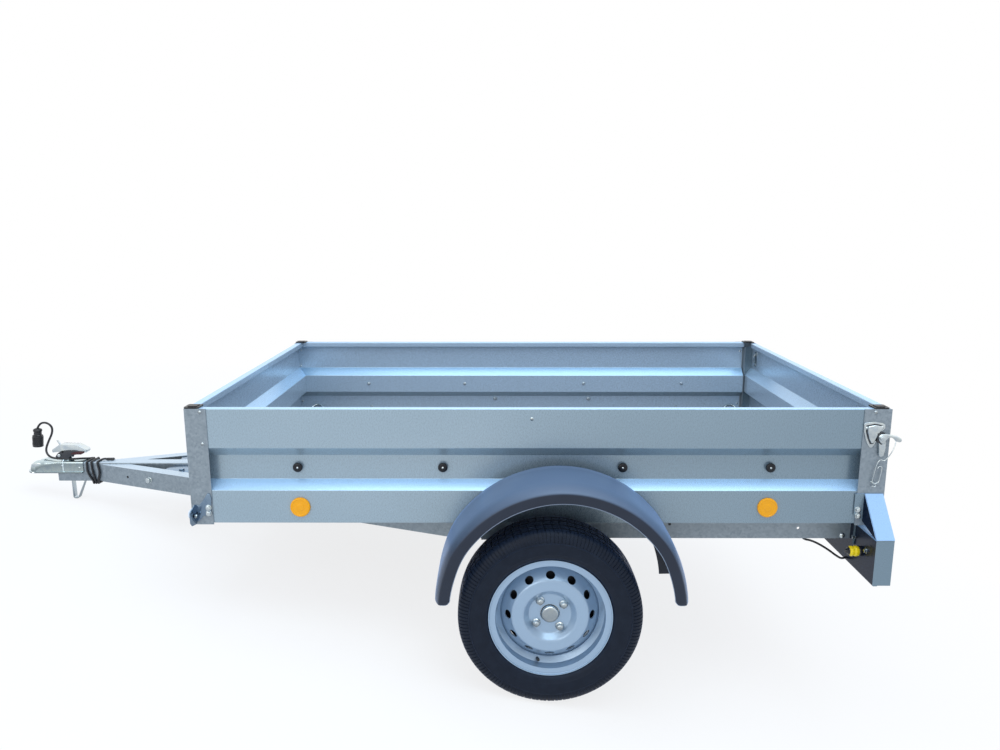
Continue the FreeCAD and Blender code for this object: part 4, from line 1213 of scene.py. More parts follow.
@dataclass
class Lead(SubAssembly):
    """Plug lead: turns round the drawbar tube, the run over the coupling, and its plug."""

    diameter: float = 8.0
    length: float = 1.23
    tops: tuple[float, ...] = (42.0, 18.0, 0.0)
    bottoms: tuple[float, ...] = (38.0, 29.0, 20.0)
    bows: tuple[float, ...] = (9.0, -2.0, -10.0)
    last_top: float = -6.0
    first_x: float = -1774.5
    half: float = 29.4
    bulge: float = 2.0
    low: float = 399.6
    high: float = 487.4
    corner: float = 9.0
    exit: Point = (-1711.0, 7.0, 488.5)
    leaving: Point = (-9.0, -2.0, 2.5)
    ball: Point = (-1978.0, 0.0, 452.0)
    route: Line = (
        (172.0, -9.0, 43.5), (134.0, -17.0, 43.0), (90.0, -21.0, 46.0), (52.0, -16.0, 50.0),
        (32.0, -6.0, 74.0), (44.0, 1.0, 110.0), (62.0, 4.0, 144.0),
        (64.0, 3.0, 171.0), (44.0, 1.0, 188.0), (18.0, 0.0, 184.0), (8.0, 0.0, 165.0))
    grommet: Steps = (
        (-26.0, 8.5), (-24.0, 9.5), (-18.0, 9.5), (-17.0, 8.0), (-13.0, 8.0), (-12.0, 7.2), (-8.0, 7.0),
        (-7.0, 6.2), (-3.0, 6.0), (-2.0, 5.2), (2.0, 4.8))
    plug_way: Point = (-0.08, 0.0, -1.0)
    neck: Steps = ((0.5, 6.5), (2.0, 9.0), (4.0, 14.0), (7.0, 16.0), (12.0, 16.0), (14.0, 14.0), (26.0, 14.0),
                   (28.0, 15.5))
    housing: Steps = ((28.0, 16.0), (30.0, 19.0), (36.0, 19.0), (64.0, 18.0), (65.0, 19.0), (74.0, 19.0),
                      (74.0, 16.0), (52.0, 15.5))
    ribs_middle: float = 50.0
    rib_inset: float = 0.4
    rib_height: float = 0.9
    pin: Steps = ((51.0, 1.8), (68.0, 1.8), (69.0, 1.2))
    pin_circle: float = 8.5
    pin_count: int = 6
    lug: Outline = ((-3.0, 15.0), (3.0, 15.0), (3.0, 21.5), (-3.0, 21.5))
    lug_foot: float = 60.0
    lug_length: float = 12.0

    def turn(self, top: float, bottom: float, following: float, bow: float) -> list[Point]:
        """One turn from the tube's top round its left side, bottom and right side.

        Args:
            top: Place of its top behind the first turn, in millimetres.
            bottom: Place of its bottom.
            following: Place of the next turn's top.
            bow: How far its left side bows backwards.

        Returns:
            Its control points.
        """
        start = self.first_x + top
        under = self.first_x + bottom
        end = self.first_x + following
        middle = (self.low + self.high) / 2
        step = self.corner
        return [(start, 0.0, self.high), (start, step - self.half, self.high),
                (start, -self.half, self.high), (start, -self.half, self.high - step),
                ((start + under) / 2 + bow, -self.half - self.bulge, middle),
                (under, -self.half, self.low + step), (under, -self.half, self.low),
                (under, step - self.half, self.low), (under, 0.0, self.low - 1.0),
                (under, self.half - step, self.low), (under, self.half, self.low),
                (under, self.half, self.low + step),
                ((end + under) / 2, self.half + self.bulge, middle),
                (end, self.half, self.high - step), (end, self.half, self.high),
                (end, self.half - step, self.high)]

    def points(self) -> list[Point]:
        """Control points of the whole lead in the level frame.

        Returns:
            The points, from the grommet to the plug.
        """
        line = [self.exit, tuple(start + step for start, step in zip(self.exit, self.leaving))]
        followings = (*self.tops[1:], self.last_top)
        for top, bottom, following, bow in zip(self.tops, self.bottoms, followings, self.bows):
            line.extend(self.turn(top, bottom, following, bow))
        line.extend((self.ball[0] + x, y, self.ball[2] + z) for x, y, z in self.route)
        return line

    def plug(self) -> Piece:
        """Round plug: ribbed body, neck nut and an open mouth with its contact pins.

        Returns:
            The plug on its own upright, its neck at the origin.
        """
        neck = Bench.turned("plug_neck", self.neck, 28)
        body = Bench.turned("plug_body", self.housing, 36)
        self.flute(body)
        spokes = [Matrix.Rotation(math.radians(360.0 / self.pin_count * index), 4, "Z")
                  @ Matrix.Translation((self.pin_circle * MM, 0.0, 0.0)) for index in range(self.pin_count)]
        pins = Bench.copies(Bench.turned("plug_pin", self.pin, 10), spokes)
        lug = Bench.plate("plug_lug", self.lug, self.lug_length, bevel=0.8)
        lug.data.transform(Matrix.Translation((0.0, 0.0, self.lug_foot * MM)))
        return Bench.joined("plug_housing", [body, neck, lug, *pins])

    def flute(self, body: Piece) -> None:
        """Raise the long side faces of the plug's body into grip ribs.

        Args:
            body: The body.
        """
        Bench.unselect(body, "FACE")
        for face in body.data.polygons:
            level = abs(face.center.z - self.ribs_middle * MM) < 3.0 * MM
            face.select = level and abs(face.normal.z) < 0.3
        with Bench.editing():
            bpy.ops.mesh.inset(thickness=self.rib_inset * MM, use_individual=True)
            bpy.ops.mesh.extrude_faces_move(TRANSFORM_OT_shrink_fatten={"value": self.rib_height * MM})

    def build(self) -> None:
        """Lay the lead, its grommet and its plug."""
        plug = self.plug()
        last = Vector(self.route[-1]) + Vector(self.ball)
        plug.data.transform(seat(*last, self.plug_way))
        self.fitter.fit(plug, "cable_rubber", instead_of=("plug",))
        grommet = Bench.turned("lead_grommet", self.grommet, 20)
        grommet.data.transform(seat(*self.exit, self.leaving))
        self.fitter.fit(grommet, "cable_rubber")
        line = [STANCE.point(*point) for point in self.points()]
        cord = Bench.cord("plug_cord", line, self.diameter / 2, 5, 8)
        cord.data.materials.append(self.finishes.cable)
        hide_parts("cable_turns", "plug_lead")
        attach(cord, Body.CHASSIS.value)
        LOG.info("plug_cord laid through %d points", len(line))


@dataclass(frozen=True)
class Pressing:
    """One pressing of the tyre's tread, sizes in millimetres."""

    low: float
    high: float
    bands: tuple[Band, ...]
    depth: float
    narrowing: float = 0.0


@dataclass
class Wheel(SubAssembly):
    """One wheel's pieces: tyre with its tread, hub, a black drum behind the vents, a guessed part that paints
    the shade seen through them, bolt faces and valve.
    """

    side: Side
    track_half: float = 793.0
    axle_z: float = 273.5
    pitches: int = 72
    shares: tuple[tuple[float, Band], ...] = (
        (0.38, Band.BLOCK), (0.11, Band.RIB_GAP), (0.38, Band.BLOCK), (0.13, Band.SIPE))
    pressings: tuple[Pressing, ...] = (
        Pressing(270.0, 280.0, (Band.SIPE,), 4.0),
        Pressing(242.0, 270.0, (Band.SIPE, Band.RIB_GAP), 1.6, 1.6 / 75.0))
    lining_radius: float = 262.5
    shoulder: float = 63.5
    end_face: float = 0.7
    half_width: float = 79.3
    lean_deg: float = 1.6
    # Black drum behind the rim's vents, a guessed part that paints the shade seen through them.
    shade_drum: Steps = ((-38.0, 122.0), (-35.0, 132.0), (-32.0, 136.0), (4.0, 136.0), (7.5, 133.5), (9.0, 126.0),
                   (9.0, 96.0), (13.0, 90.0), (13.5, 64.0))
    bolt_end: Steps = ((-0.5, 7.4), (1.2, 7.2), (2.4, 6.0), (3.0, 3.5))
    bolt_seat: Steps = ((-12.0, 13.4), (-9.5, 13.2), (-6.5, 10.2))
    bolts: int = 4
    bolt_circle: float = 50.0
    first_bolt_deg: float = 54.0
    bolt_out: float = 42.3
    valve: Steps = ((0.0, 7.5), (2.0, 7.5), (4.0, 5.0), (16.0, 4.2), (17.0, 5.0), (19.0, 5.0), (20.0, 4.6),
                    (28.0, 4.6), (29.5, 3.2))
    valve_place: Point = (-37.0, 18.0, -153.0)
    valve_way: Point = (0.12, 0.92, 0.32)
    crown: Outline = (
        (46.0, 166.2), (56.4, 166.4), (56.7, 181.5), (62.0, 184.2), (68.0, 188.5), (72.5, 195.0),
        (74.4, 203.0), (75.6, 204.5), (76.2, 209.0), (77.2, 220.0), (77.4, 230.0), (77.0, 235.6),
        (78.0, 236.4), (78.0, 238.4), (76.2, 239.4), (75.8, 241.5), (76.0, 242.8), (74.2, 250.0),
        (71.0, 257.5), (66.5, 264.0), (61.5, 268.6), (56.0, 271.4), (46.5, 272.4), (45.6, 266.0),
        (40.4, 266.0), (39.5, 272.8), (19.5, 273.3), (18.6, 266.5), (12.4, 266.5), (11.5, 273.4),
        (0.0, 273.5))
    lining: Outline = ((50.0, 190.0), (60.0, 212.0), (62.0, 232.0), (54.0, 254.0), (0.0, 262.0))

    @property
    def body(self) -> Body:
        """The body that the wheel's pieces ride on."""
        return Body.WHEEL_LEFT if self.side is Side.LEFT else Body.WHEEL_RIGHT

    def outward(self, x: float, out: float, up: float, way: Point = RIGHT) -> Matrix:
        """Place of a piece that faces out of the wheel.

        Args:
            x: Place along the trailer, in millimetres from the axle.
            out: Place outwards, from the tyre's middle.
            up: Height over the axle.
            way: Way that it faces, as on the right wheel.

        Returns:
            The place.
        """
        return seat(x, self.side * (self.track_half + out), self.axle_z + up,
                    (way[0], self.side * way[1], way[2]))

    def section(self) -> Outline:
        """Closed section of the tyre.

        Returns:
            Its corners as (across, radius).
        """
        outer = self.crown + tuple((-u, r) for u, r in self.crown[-2::-1])
        inner = tuple((-u, r) for u, r in self.lining) + self.lining[-2::-1]
        return outer + inner

    def tyre(self) -> Piece:
        """Spin one tread pitch, press its sipe in, and repeat it round the wheel.

        Returns:
            The tyre about its own centre.
        """
        tyre = Bench.drawn("tyre_casing_" + self.side.hand, [(0.0, *corner) for corner in self.section()])
        pitch = 2 * math.pi / self.pitches
        with Bench.editing("SELECT"):
            for share, _ in self.shares:
                Bench.spin(1, pitch * share)
        for pressing in self.pressings:
            self.press(tyre, pitch, pressing)
        with Bench.editing("SELECT"):
            Bench.spin(self.pitches, 2 * math.pi, dupli=True)
            bpy.ops.mesh.select_all(action="SELECT")
            bpy.ops.mesh.remove_doubles(threshold=0.05 * MM)
            Bench.outwards()
        lean = math.radians(self.lean_deg) / (self.half_width * MM)
        for vertex in tyre.data.vertices:
            vertex.co = Matrix.Rotation(abs(vertex.co.y) * lean, 3, "Y") @ vertex.co
        return tyre

    def band(self, angle: float, pitch: float) -> Band:
        """Which step of the pitch an angle falls in.

        Args:
            angle: The angle in radians.
            pitch: Angle of a pitch.

        Returns:
            The step.
        """
        passed = 0.0
        for share, band in self.shares:
            passed += share
            if abs(angle) < passed * pitch:
                return band
        return self.shares[-1][1]

    def press(self, tyre: Piece, pitch: float, pressing: Pressing) -> None:
        """Sink the faces of some steps into the tread.

        Args:
            tyre: The tyre, one pitch long.
            pitch: Angle of a pitch.
            pressing: Where and how deep.
        """
        Bench.unselect(tyre, "FACE")
        for face in tyre.data.polygons:
            centre = face.center
            reach = math.hypot(centre.x, centre.z) / MM
            outer = reach > self.lining_radius or abs(centre.y) > self.shoulder * MM
            along = abs(face.normal.dot(Vector((centre.z, 0.0, -centre.x)).normalized()))
            band = self.band(math.atan2(centre.x, centre.z), pitch)
            face.select = (pressing.low < reach < pressing.high and band in pressing.bands and outer
                           and along < self.end_face)
        with Bench.editing():
            bpy.ops.mesh.extrude_region_move()
            bpy.ops.mesh.normals_make_consistent(inside=False)
        for index in {index for face in tyre.data.polygons if face.select for index in face.vertices}:
            vertex = tyre.data.vertices[index]
            share = pressing.depth * MM / math.hypot(vertex.co.x, vertex.co.z)
            vertex.co.x *= 1.0 - share
            vertex.co.z *= 1.0 - share
            vertex.co.y *= 1.0 - pressing.narrowing

    def build(self) -> None:
        """Build the wheel's pieces."""
        hand = self.side.hand
        tyre = self.tyre()
        tyre.data.transform(Matrix.Translation(Vector((0.0, self.side * self.track_half, self.axle_z)) * MM))
        self.fitter.fit(tyre, "tyre", self.body, instead_of=("tyre_" + hand,), smooth=28.0)
        hub = Bench.refined("wheel_hub_" + hand, "hub_" + hand, 0.8)
        self.fitter.fit(hub, "zinc", self.body, instead_of=("hub_" + hand,), smooth=38.0, parked=True)
        # Black drum behind the vents: painted shade seen through them.
        shade_drum = Bench.turned("vent_shade_drum_" + hand, self.shade_drum, 64)
        shade_drum.data.transform(self.outward(0.0, 0.0, 0.0))
        self.fitter.fit(shade_drum, "black_plastic", self.body, material=self.finishes.knob, smooth=40.0)
        bolt = Bench.joined("bolt_face", [Bench.turned("bolt_end", self.bolt_end, 20),
                                          Bench.turned("bolt_seat", self.bolt_seat, 24)])
        places = []
        for index in range(self.bolts):
            angle = math.radians(self.first_bolt_deg + 360.0 / self.bolts * index)
            places.append(self.outward(self.bolt_circle * math.sin(angle), self.bolt_out,
                                       self.bolt_circle * math.cos(angle)))
        self.fitter.fit(Bench.repeated("bolt_faces_" + hand, bolt, places), "zinc", self.body)
        valve = Bench.turned("valve_" + hand, self.valve, 16)
        valve.data.transform(self.outward(*self.valve_place, self.valve_way))
        self.fitter.fit(valve, "cable_rubber", self.body)


@dataclass
class Fender(SubAssembly):
    """One moulded fender: a section swept over the wheel, thickened, with a bead along its lip."""

    side: Side
    centre_x: float = 32.5
    centre_z: float = 318.0
    thickness: float = 3.2
    steps: int = 96
    foot_deg: float = 88.7
    bead_radius: float = 1.1
    bead_out: float = 876.6
    foot_bead_out: float = 877.0
    foot_bead: tuple[float, ...] = (46.0, 43.0, 39.0, 34.0, 28.0, 20.0)
    lip_from: float = 872.0
    lip_depth: float = 47.0
    section: Outline = (
        (666.4, 55.0), (666.4, 4.0), (668.0, 1.2), (671.0, 0.2), (700.0, 0.2), (740.0, 0.4), (780.0, 0.8),
        (815.0, 1.5), (836.0, 2.6), (850.0, 5.2), (862.0, 9.0), (871.0, 13.0), (875.6, 15.6), (877.4, 18.4),
        (877.8, 22.0), (877.8, 33.0), (877.8, 38.0), (877.8, 42.0), (877.8, 45.0), (876.6, 47.0),
        (873.0, 47.6))
    corner: float = 14.0
    profile: Outline = ((0.0, 363.0), (24.0, 363.5), (47.0, 367.0), (60.0, 370.5), (75.0, 370.5),
                        (90.0, 374.5))

    def radius(self, degrees: float) -> float:
        """Radius of the crown at an angle from the top, on a smooth line through the profile.

        Args:
            degrees: Angle from the top.

        Returns:
            The radius in millimetres.
        """
        rows = self.profile
        angle = min(abs(degrees), rows[-1][0])
        index = max(i for i in range(len(rows) - 1) if rows[i][0] <= angle)
        before = rows[index - 1] if index else (-rows[1][0], rows[1][1])
        start, end = rows[index], rows[index + 1]
        after = rows[index + 2] if index + 2 < len(rows) else (2 * end[0] - start[0], 2 * end[1] - start[1])
        width = end[0] - start[0]
        share = (angle - start[0]) / width
        tangent_start = (end[1] - before[1]) / (end[0] - before[0]) * width
        tangent_end = (after[1] - start[1]) / (after[0] - start[0]) * width
        square, cube = share ** 2, share ** 3
        return ((2 * cube - 3 * square + 1) * start[1] + (cube - 2 * square + share) * tangent_start
                + (3 * square - 2 * cube) * end[1] + (cube - square) * tangent_end)

    def shell(self) -> Piece:
        """Sweep the section over the wheel and thicken it inwards.

        Returns:
            The shell.
        """
        top = self.profile[0][1]
        shell = Bench.drawn("moulded_fender_" + self.side.hand,
                            [(0.0, self.side * across, top - inset) for across, inset in self.section])
        Bench.unselect(shell, "EDGE")
        for edge in shell.data.edges:
            edge.select = set(edge.vertices) == {0, len(self.section) - 1}
        with Bench.editing():
            bpy.ops.mesh.delete(type="EDGE")
            bpy.ops.mesh.select_all(action="SELECT")
            Bench.spin(self.steps, math.radians(2 * self.foot_deg))
        angles = [math.atan2(vertex.co.x, vertex.co.z) for vertex in shell.data.vertices]
        shell.data.transform(Matrix.Rotation(-(min(angles) + max(angles)) / 2, 4, "Y"))
        for vertex in shell.data.vertices:
            degrees = math.degrees(math.atan2(vertex.co.x, vertex.co.z))
            reach = math.hypot(vertex.co.x, vertex.co.z)
            grown = reach + (self.radius(degrees) - top) * MM
            vertex.co.x *= grown / reach
            vertex.co.z *= grown / reach
            self.round_foot(vertex, degrees)
        shell.data.transform(Matrix.Translation(Vector((self.centre_x, 0.0, self.centre_z)) * MM))
        self.face_out(shell)
        solid = shell.modifiers.new("sheet", "SOLIDIFY")
        solid.thickness = self.thickness * MM
        solid.offset = -1.0
        Bench.pick(shell)
        bpy.ops.object.modifier_apply(modifier=solid.name)
        Bench.bevel(shell, 0.9, 2, 60.0)
        return shell

    def lift(self, inset: float) -> float:
        """How far the rounded corner of a foot stands above its end, at an inset from the crown."""
        beyond = max(0.0, min(self.corner, inset - (self.lip_depth - self.corner)))
        return self.corner - math.sqrt(self.corner ** 2 - beyond ** 2)

    def round_foot(self, vertex: bpy.types.MeshVertex, degrees: float) -> None:
        """Round the lip's corner at a foot.

        Args:
            vertex: A vertex of the shell about the wheel arch's centre.
            degrees: Its angle from the top.
        """
        end = abs(degrees) > self.foot_deg - 0.1
        across = abs(vertex.co.y) / MM
        inset = self.radius(degrees) - math.hypot(vertex.co.x, vertex.co.z) / MM
        if end and across > self.lip_from:
            vertex.co.z += self.lift(inset) * MM

    def face_out(self, shell: Piece) -> None:
        """Turn the open shell's faces away from the wheel.

        Args:
            shell: The shell, in its place.
        """
        outward = 0.0
        middle = Vector((self.centre_x * MM, 0.0, self.centre_z * MM))
        for face in shell.data.polygons:
            spoke = face.center - middle
            outward += face.normal.dot(Vector((spoke.x, 0.0, spoke.z)).normalized()) * face.area
        if outward < 0:
            shell.data.flip_normals()

    def on_arch(self, degrees: float, inset: float, across: float, lift: float) -> Point:
        """Point under the fender's crown.

        Args:
            degrees: Angle from the top.
            inset: Distance inwards of the crown, in millimetres.
            across: Distance from the centre line.
            lift: Height to add.

        Returns:
            The point.
        """
        reach = self.radius(degrees) - inset
        angle = math.radians(degrees)
        return (self.centre_x + reach * math.sin(angle), self.side * across,
                self.centre_z + reach * math.cos(angle) + lift)

    def bead(self) -> Piece:
        """Run a thin bead along the lip and round the feet.

        Returns:
            The bead.
        """
        inset = self.section[-2][1]
        line = [self.on_arch(self.foot_deg * (2 * step / self.steps - 1), inset, self.bead_out, 0.0)
                for step in range(1, self.steps)]
        back, front = ([self.on_arch(end * self.foot_deg, depth, self.foot_bead_out, self.lift(depth))
                        for depth in self.foot_bead] for end in (-1, 1))
        return Bench.wire("fender_bead_" + self.side.hand, back[::-1] + line + front, self.bead_radius)

    def build(self) -> None:
        """Build the fender."""
        self.fitter.fit(self.shell(), "black_plastic", instead_of=("fender_" + self.side.hand,), smooth=50.0)
        # The bead takes the pale lip finish, a painted highlight along the lip.
        self.fitter.fit(self.bead(), "black_plastic", material=self.finishes.edge)


@dataclass
class Hardware(SubAssembly):
    """Rivets, bolts and screws of the box, posts, brackets and drawbar."""

    wall: float = 666.0
    post_face: float = 668.3
    inner_wall: float = 664.0
    inner_ledge: float = 628.0
    carrier_face: float = 670.3
    bracket_face: float = 671.3
    rail_face: float = 580.0
    post_rivets: Outline = ((-1057.2, 847.3), (-1055.9, 747.2), (984.5, 848.1))
    wall_marks: Outline = ((-51.8, 826.4),)
    carrier_bolts: Outline = ((956.2, 539.8), (957.9, 520.2))
    bracket_bolts: Outline = ((-1051.2, 544.2), (-1051.6, 526.6))
    rail_bolts: Outline = ((956.8, 417.3),)
    rail_holes: Outline = ((398.5, 455.3),)
    drawbar_bolt: Point = (-1491.7, 117.0, 443.4)
    drawbar_hole: Point = (-1593.8, 77.5, 441.9)
    drawbar_way: Point = (-0.363, 0.932, 0.0)
    knob_ends: Outline = ((-771.0, 664.0), (-320.0, 664.0), (238.0, 664.0), (698.0, 664.0))
    reflector_ends: Outline = ((-767.0, 545.0), (684.0, 545.0))
    fender_nuts: Outline = ((-177.7, 584.5), (267.3, 584.7))
    inner_rivets: Outline = ((-1093.0, 818.3), (-1096.8, 741.5), (-1098.2, 571.4), (975.0, 812.0),
                             (975.0, 560.0))
    bracket: Outline = ((-1093.0, 552.0), (-1080.2, 551.0), (-1064.1, 571.3), (-1052.0, 590.0),
                        (-1045.0, 589.0), (-1040.0, 575.0), (-1043.6, 545.0), (-1043.6, 521.3),
                        (-1068.8, 516.7), (-1083.0, 500.0), (-1093.0, 497.0))
    sheet: float = 3.0
    wing: Outline = ((0.0, 497.0), (0.0, 552.0), (5.0, 556.0), (31.0, 541.0), (34.0, 535.0), (33.0, 503.0),
                     (26.0, 492.5), (4.0, 491.0))
    wing_way: Point = (0.973, -0.231, 0.0)
    wing_corner: tuple[float, float] = (-1092.0, 669.0)
    wing_bolt: Point = (-1087.4, 682.0, 520.3)
    gusset: Outline = ((-1446.0, -86.0), (-1428.0, -25.3), (-1320.0, -25.3), (-1320.0, -129.0))
    gusset_sheet: float = 3.5
    gusset_z: float = 471.5
    gusset_bolt: Point = (-1372.0, -99.7, 3.4)

    @staticmethod
    def mirrored(place: Point, way: Point, turn: float = 0.0) -> list[Matrix]:
        """Places on both hands, given the way that the right one faces.

        Args:
            place: The right one's place, in millimetres.
            way: The way.
            turn: Turn about the way, in degrees.

        Returns:
            The two places.
        """
        x, y, z = place
        return [seat(x, side * y, z, (way[0], side * way[1], way[2]), turn) for side in Side]

    def rivets(self) -> None:
        """Domed rivets of the posts and walls."""
        places = both_hands(self.post_rivets, self.post_face) + both_hands(self.wall_marks, self.wall)
        self.fasten("post_rivets", Fastener.dome("post_rivet", radius=5.2, rise=2.4), places)

    def bolts(self) -> None:
        """Hexagon bolts of brackets and carriers, the drawbar's bolts and domes, and black plugs that paint
        the shade in the rail and drawbar holes.
        """
        places = both_hands(self.carrier_bolts, self.carrier_face, swirl=12.0)
        places += both_hands(self.bracket_bolts, self.bracket_face, swirl=9.0)
        bright = self.finishes.bright
        wings = self.mirrored(self.wing_bolt, (self.wing_way[0], -self.wing_way[1], 0.0))
        small = Fastener(across=9.0, head=3.0, washer=7.0, washer_sheet=1.0).hex_bolt("wing_bolt")
        self.fasten("wing_bolts", small, wings)
        bolt = Fastener(across=13.0, head=7.0, washer=9.5).hex_bolt("flank_bolt")
        self.fasten("flank_bolts", bolt, places, bright)
        heavy = Fastener(across=19.0, head=9.0, washer=12.5, washer_sheet=2.5).hex_bolt("drawbar_bolt")
        self.fasten("drawbar_bolts", heavy, self.mirrored(self.drawbar_bolt, self.drawbar_way, 12.0), bright)
        domes = both_hands(self.rail_bolts, self.rail_face)
        self.fasten("rail_coach_bolts", Fastener.dome("coach_bolt", radius=9.0, rise=5.0), domes, bright)
        # Black domes in the rail and drawbar holes, painting the shade inside the holes.
        plugs = both_hands(self.rail_holes, self.rail_face)
        plugs += self.mirrored(self.drawbar_hole, self.drawbar_way)
        self.fitter.fit(Bench.repeated("hole_shade_plugs", Fastener.dome("hole_plug", radius=5.0, rise=1.2), plugs),
                        "black_plastic", material=self.finishes.knob)

    def brackets(self) -> None:
        """Front corner brackets, a pressed flange with a folded wing, and the drawbar's top gussets."""
        blue = self.finishes.blue_zinc
        flange = Bench.plate("bracket_flange", self.bracket, self.sheet, bevel=0.7)
        parts = Bench.copies(flange, [flank(side, self.post_face) for side in Side])
        wing = Bench.plate("bracket_wing", self.wing, self.sheet, bevel=0.7)
        along, across, _ = self.wing_way
        x, y = self.wing_corner
        parts += Bench.copies(wing, [Matrix(((across, 0.0, along, x * MM),
                                             (side * along, 0.0, -side * across, side * y * MM),
                                             (0.0, 1.0, 0.0, 0.0), (0.0, 0.0, 0.0, 1.0))) for side in Side])
        self.fitter.fit(Bench.joined("corner_brackets", parts), "zinc", instead_of=("front_brackets",),
                        smooth=40.0, material=blue)
        gusset = Bench.plate("top_gusset", self.gusset, self.gusset_sheet, bevel=0.6)
        bolt = Fastener(across=17.0, head=7.0, washer=12.0, washer_sheet=2.0).hex_bolt("gusset_bolt")
        bolt.data.transform(Matrix.Translation(Vector(self.gusset_bolt) * MM))
        lift = Matrix.Translation((0.0, 0.0, self.gusset_z * MM))
        mirror = Matrix.Diagonal((1.0, -1.0, 1.0, 1.0))
        self.fasten("top_gussets", Bench.joined("top_gusset", [gusset, bolt]), [lift, lift @ mirror], blue)

    def screws(self) -> None:
        """Ends of the knob, reflector and fender screws and of the rivets, inside the box."""
        bright, wall = self.finishes.bright, -self.inner_wall
        ends = both_hands(self.knob_ends, -self.inner_ledge) + both_hands(self.reflector_ends, wall)
        end = Fastener(across=8.0, head=4.5, washer=7.0).hex_bolt("wall_nut")
        self.fasten("wall_nuts", end, ends, bright)
        nut = Fastener(across=13.0, head=8.0, washer=9.5, washer_sheet=2.0).hex_bolt("fender_nut")
        self.fasten("fender_nuts", nut, both_hands(self.fender_nuts, wall), bright)
        rivet = Fastener.dome("inner_rivet", radius=4.6, rise=2.2)
        self.fasten("inner_rivets", rivet, both_hands(self.inner_rivets, wall), bright)

    def build(self) -> None:
        """Build all the fasteners of the box."""
        self.rivets()
        self.bolts()
        self.brackets()
        self.screws()


@dataclass
class WallButtons(SubAssembly):
    """Tarpaulin knobs with their screws and the round side reflectors."""

    knob_places: Outline = ((-777.0, 664.0), (-326.0, 664.0), (232.0, 664.0), (690.0, 664.0))
    knob_seat: float = 630.0
    knob: Steps = (
        (0.0, 9.5), (1.5, 8.2), (5.0, 7.6), (6.2, 9.0), (7.0, 14.0), (8.0, 15.0), (10.5, 15.0), (12.5, 13.8),
        (13.8, 11.4), (14.3, 8.0), (14.4, 5.4), (12.8, 5.0))
    screw: Steps = ((12.0, 3.4), (13.4, 3.4), (14.2, 2.6), (14.5, 1.4), (13.9, 1.0))
    reflector_places: Outline = ((-767.0, 545.0), (678.0, 545.0))
    reflector_seat: float = 666.0
    reflector: Steps = (
        (0.0, 31.0), (4.0, 31.0), (5.6, 30.2), (6.8, 28.6), (7.0, 26.0), (6.0, 25.0), (5.9, 12.0),
        (6.6, 11.0), (6.7, 8.0))

    def knobs(self) -> None:
        """Turned knobs and their screws."""
        places = both_hands(self.knob_places, self.knob_seat)
        knobs = Bench.repeated("knob_set", Bench.turned("tarp_knob", self.knob, 32), places)
        self.fitter.fit(knobs, "black_plastic", instead_of=("tarp_knobs",), material=self.finishes.knob)
        self.fasten("knob_screws", Bench.turned("knob_screw", self.screw, 16), places, self.finishes.bright)

    def reflectors(self) -> None:
        """Amber reflectors: smooth rim, sunk prism field and a centre boss."""
        disc = Bench.turned("reflector_disc", self.reflector, 48)
        places = both_hands(self.reflector_places, self.reflector_seat)
        discs = Bench.repeated("reflector_discs", disc, places)
        self.fitter.fit(discs, "amber_plastic", instead_of=("side_reflectors",))

    def build(self) -> None:
        """Build the knobs and reflectors."""
        self.knobs()
        self.reflectors()


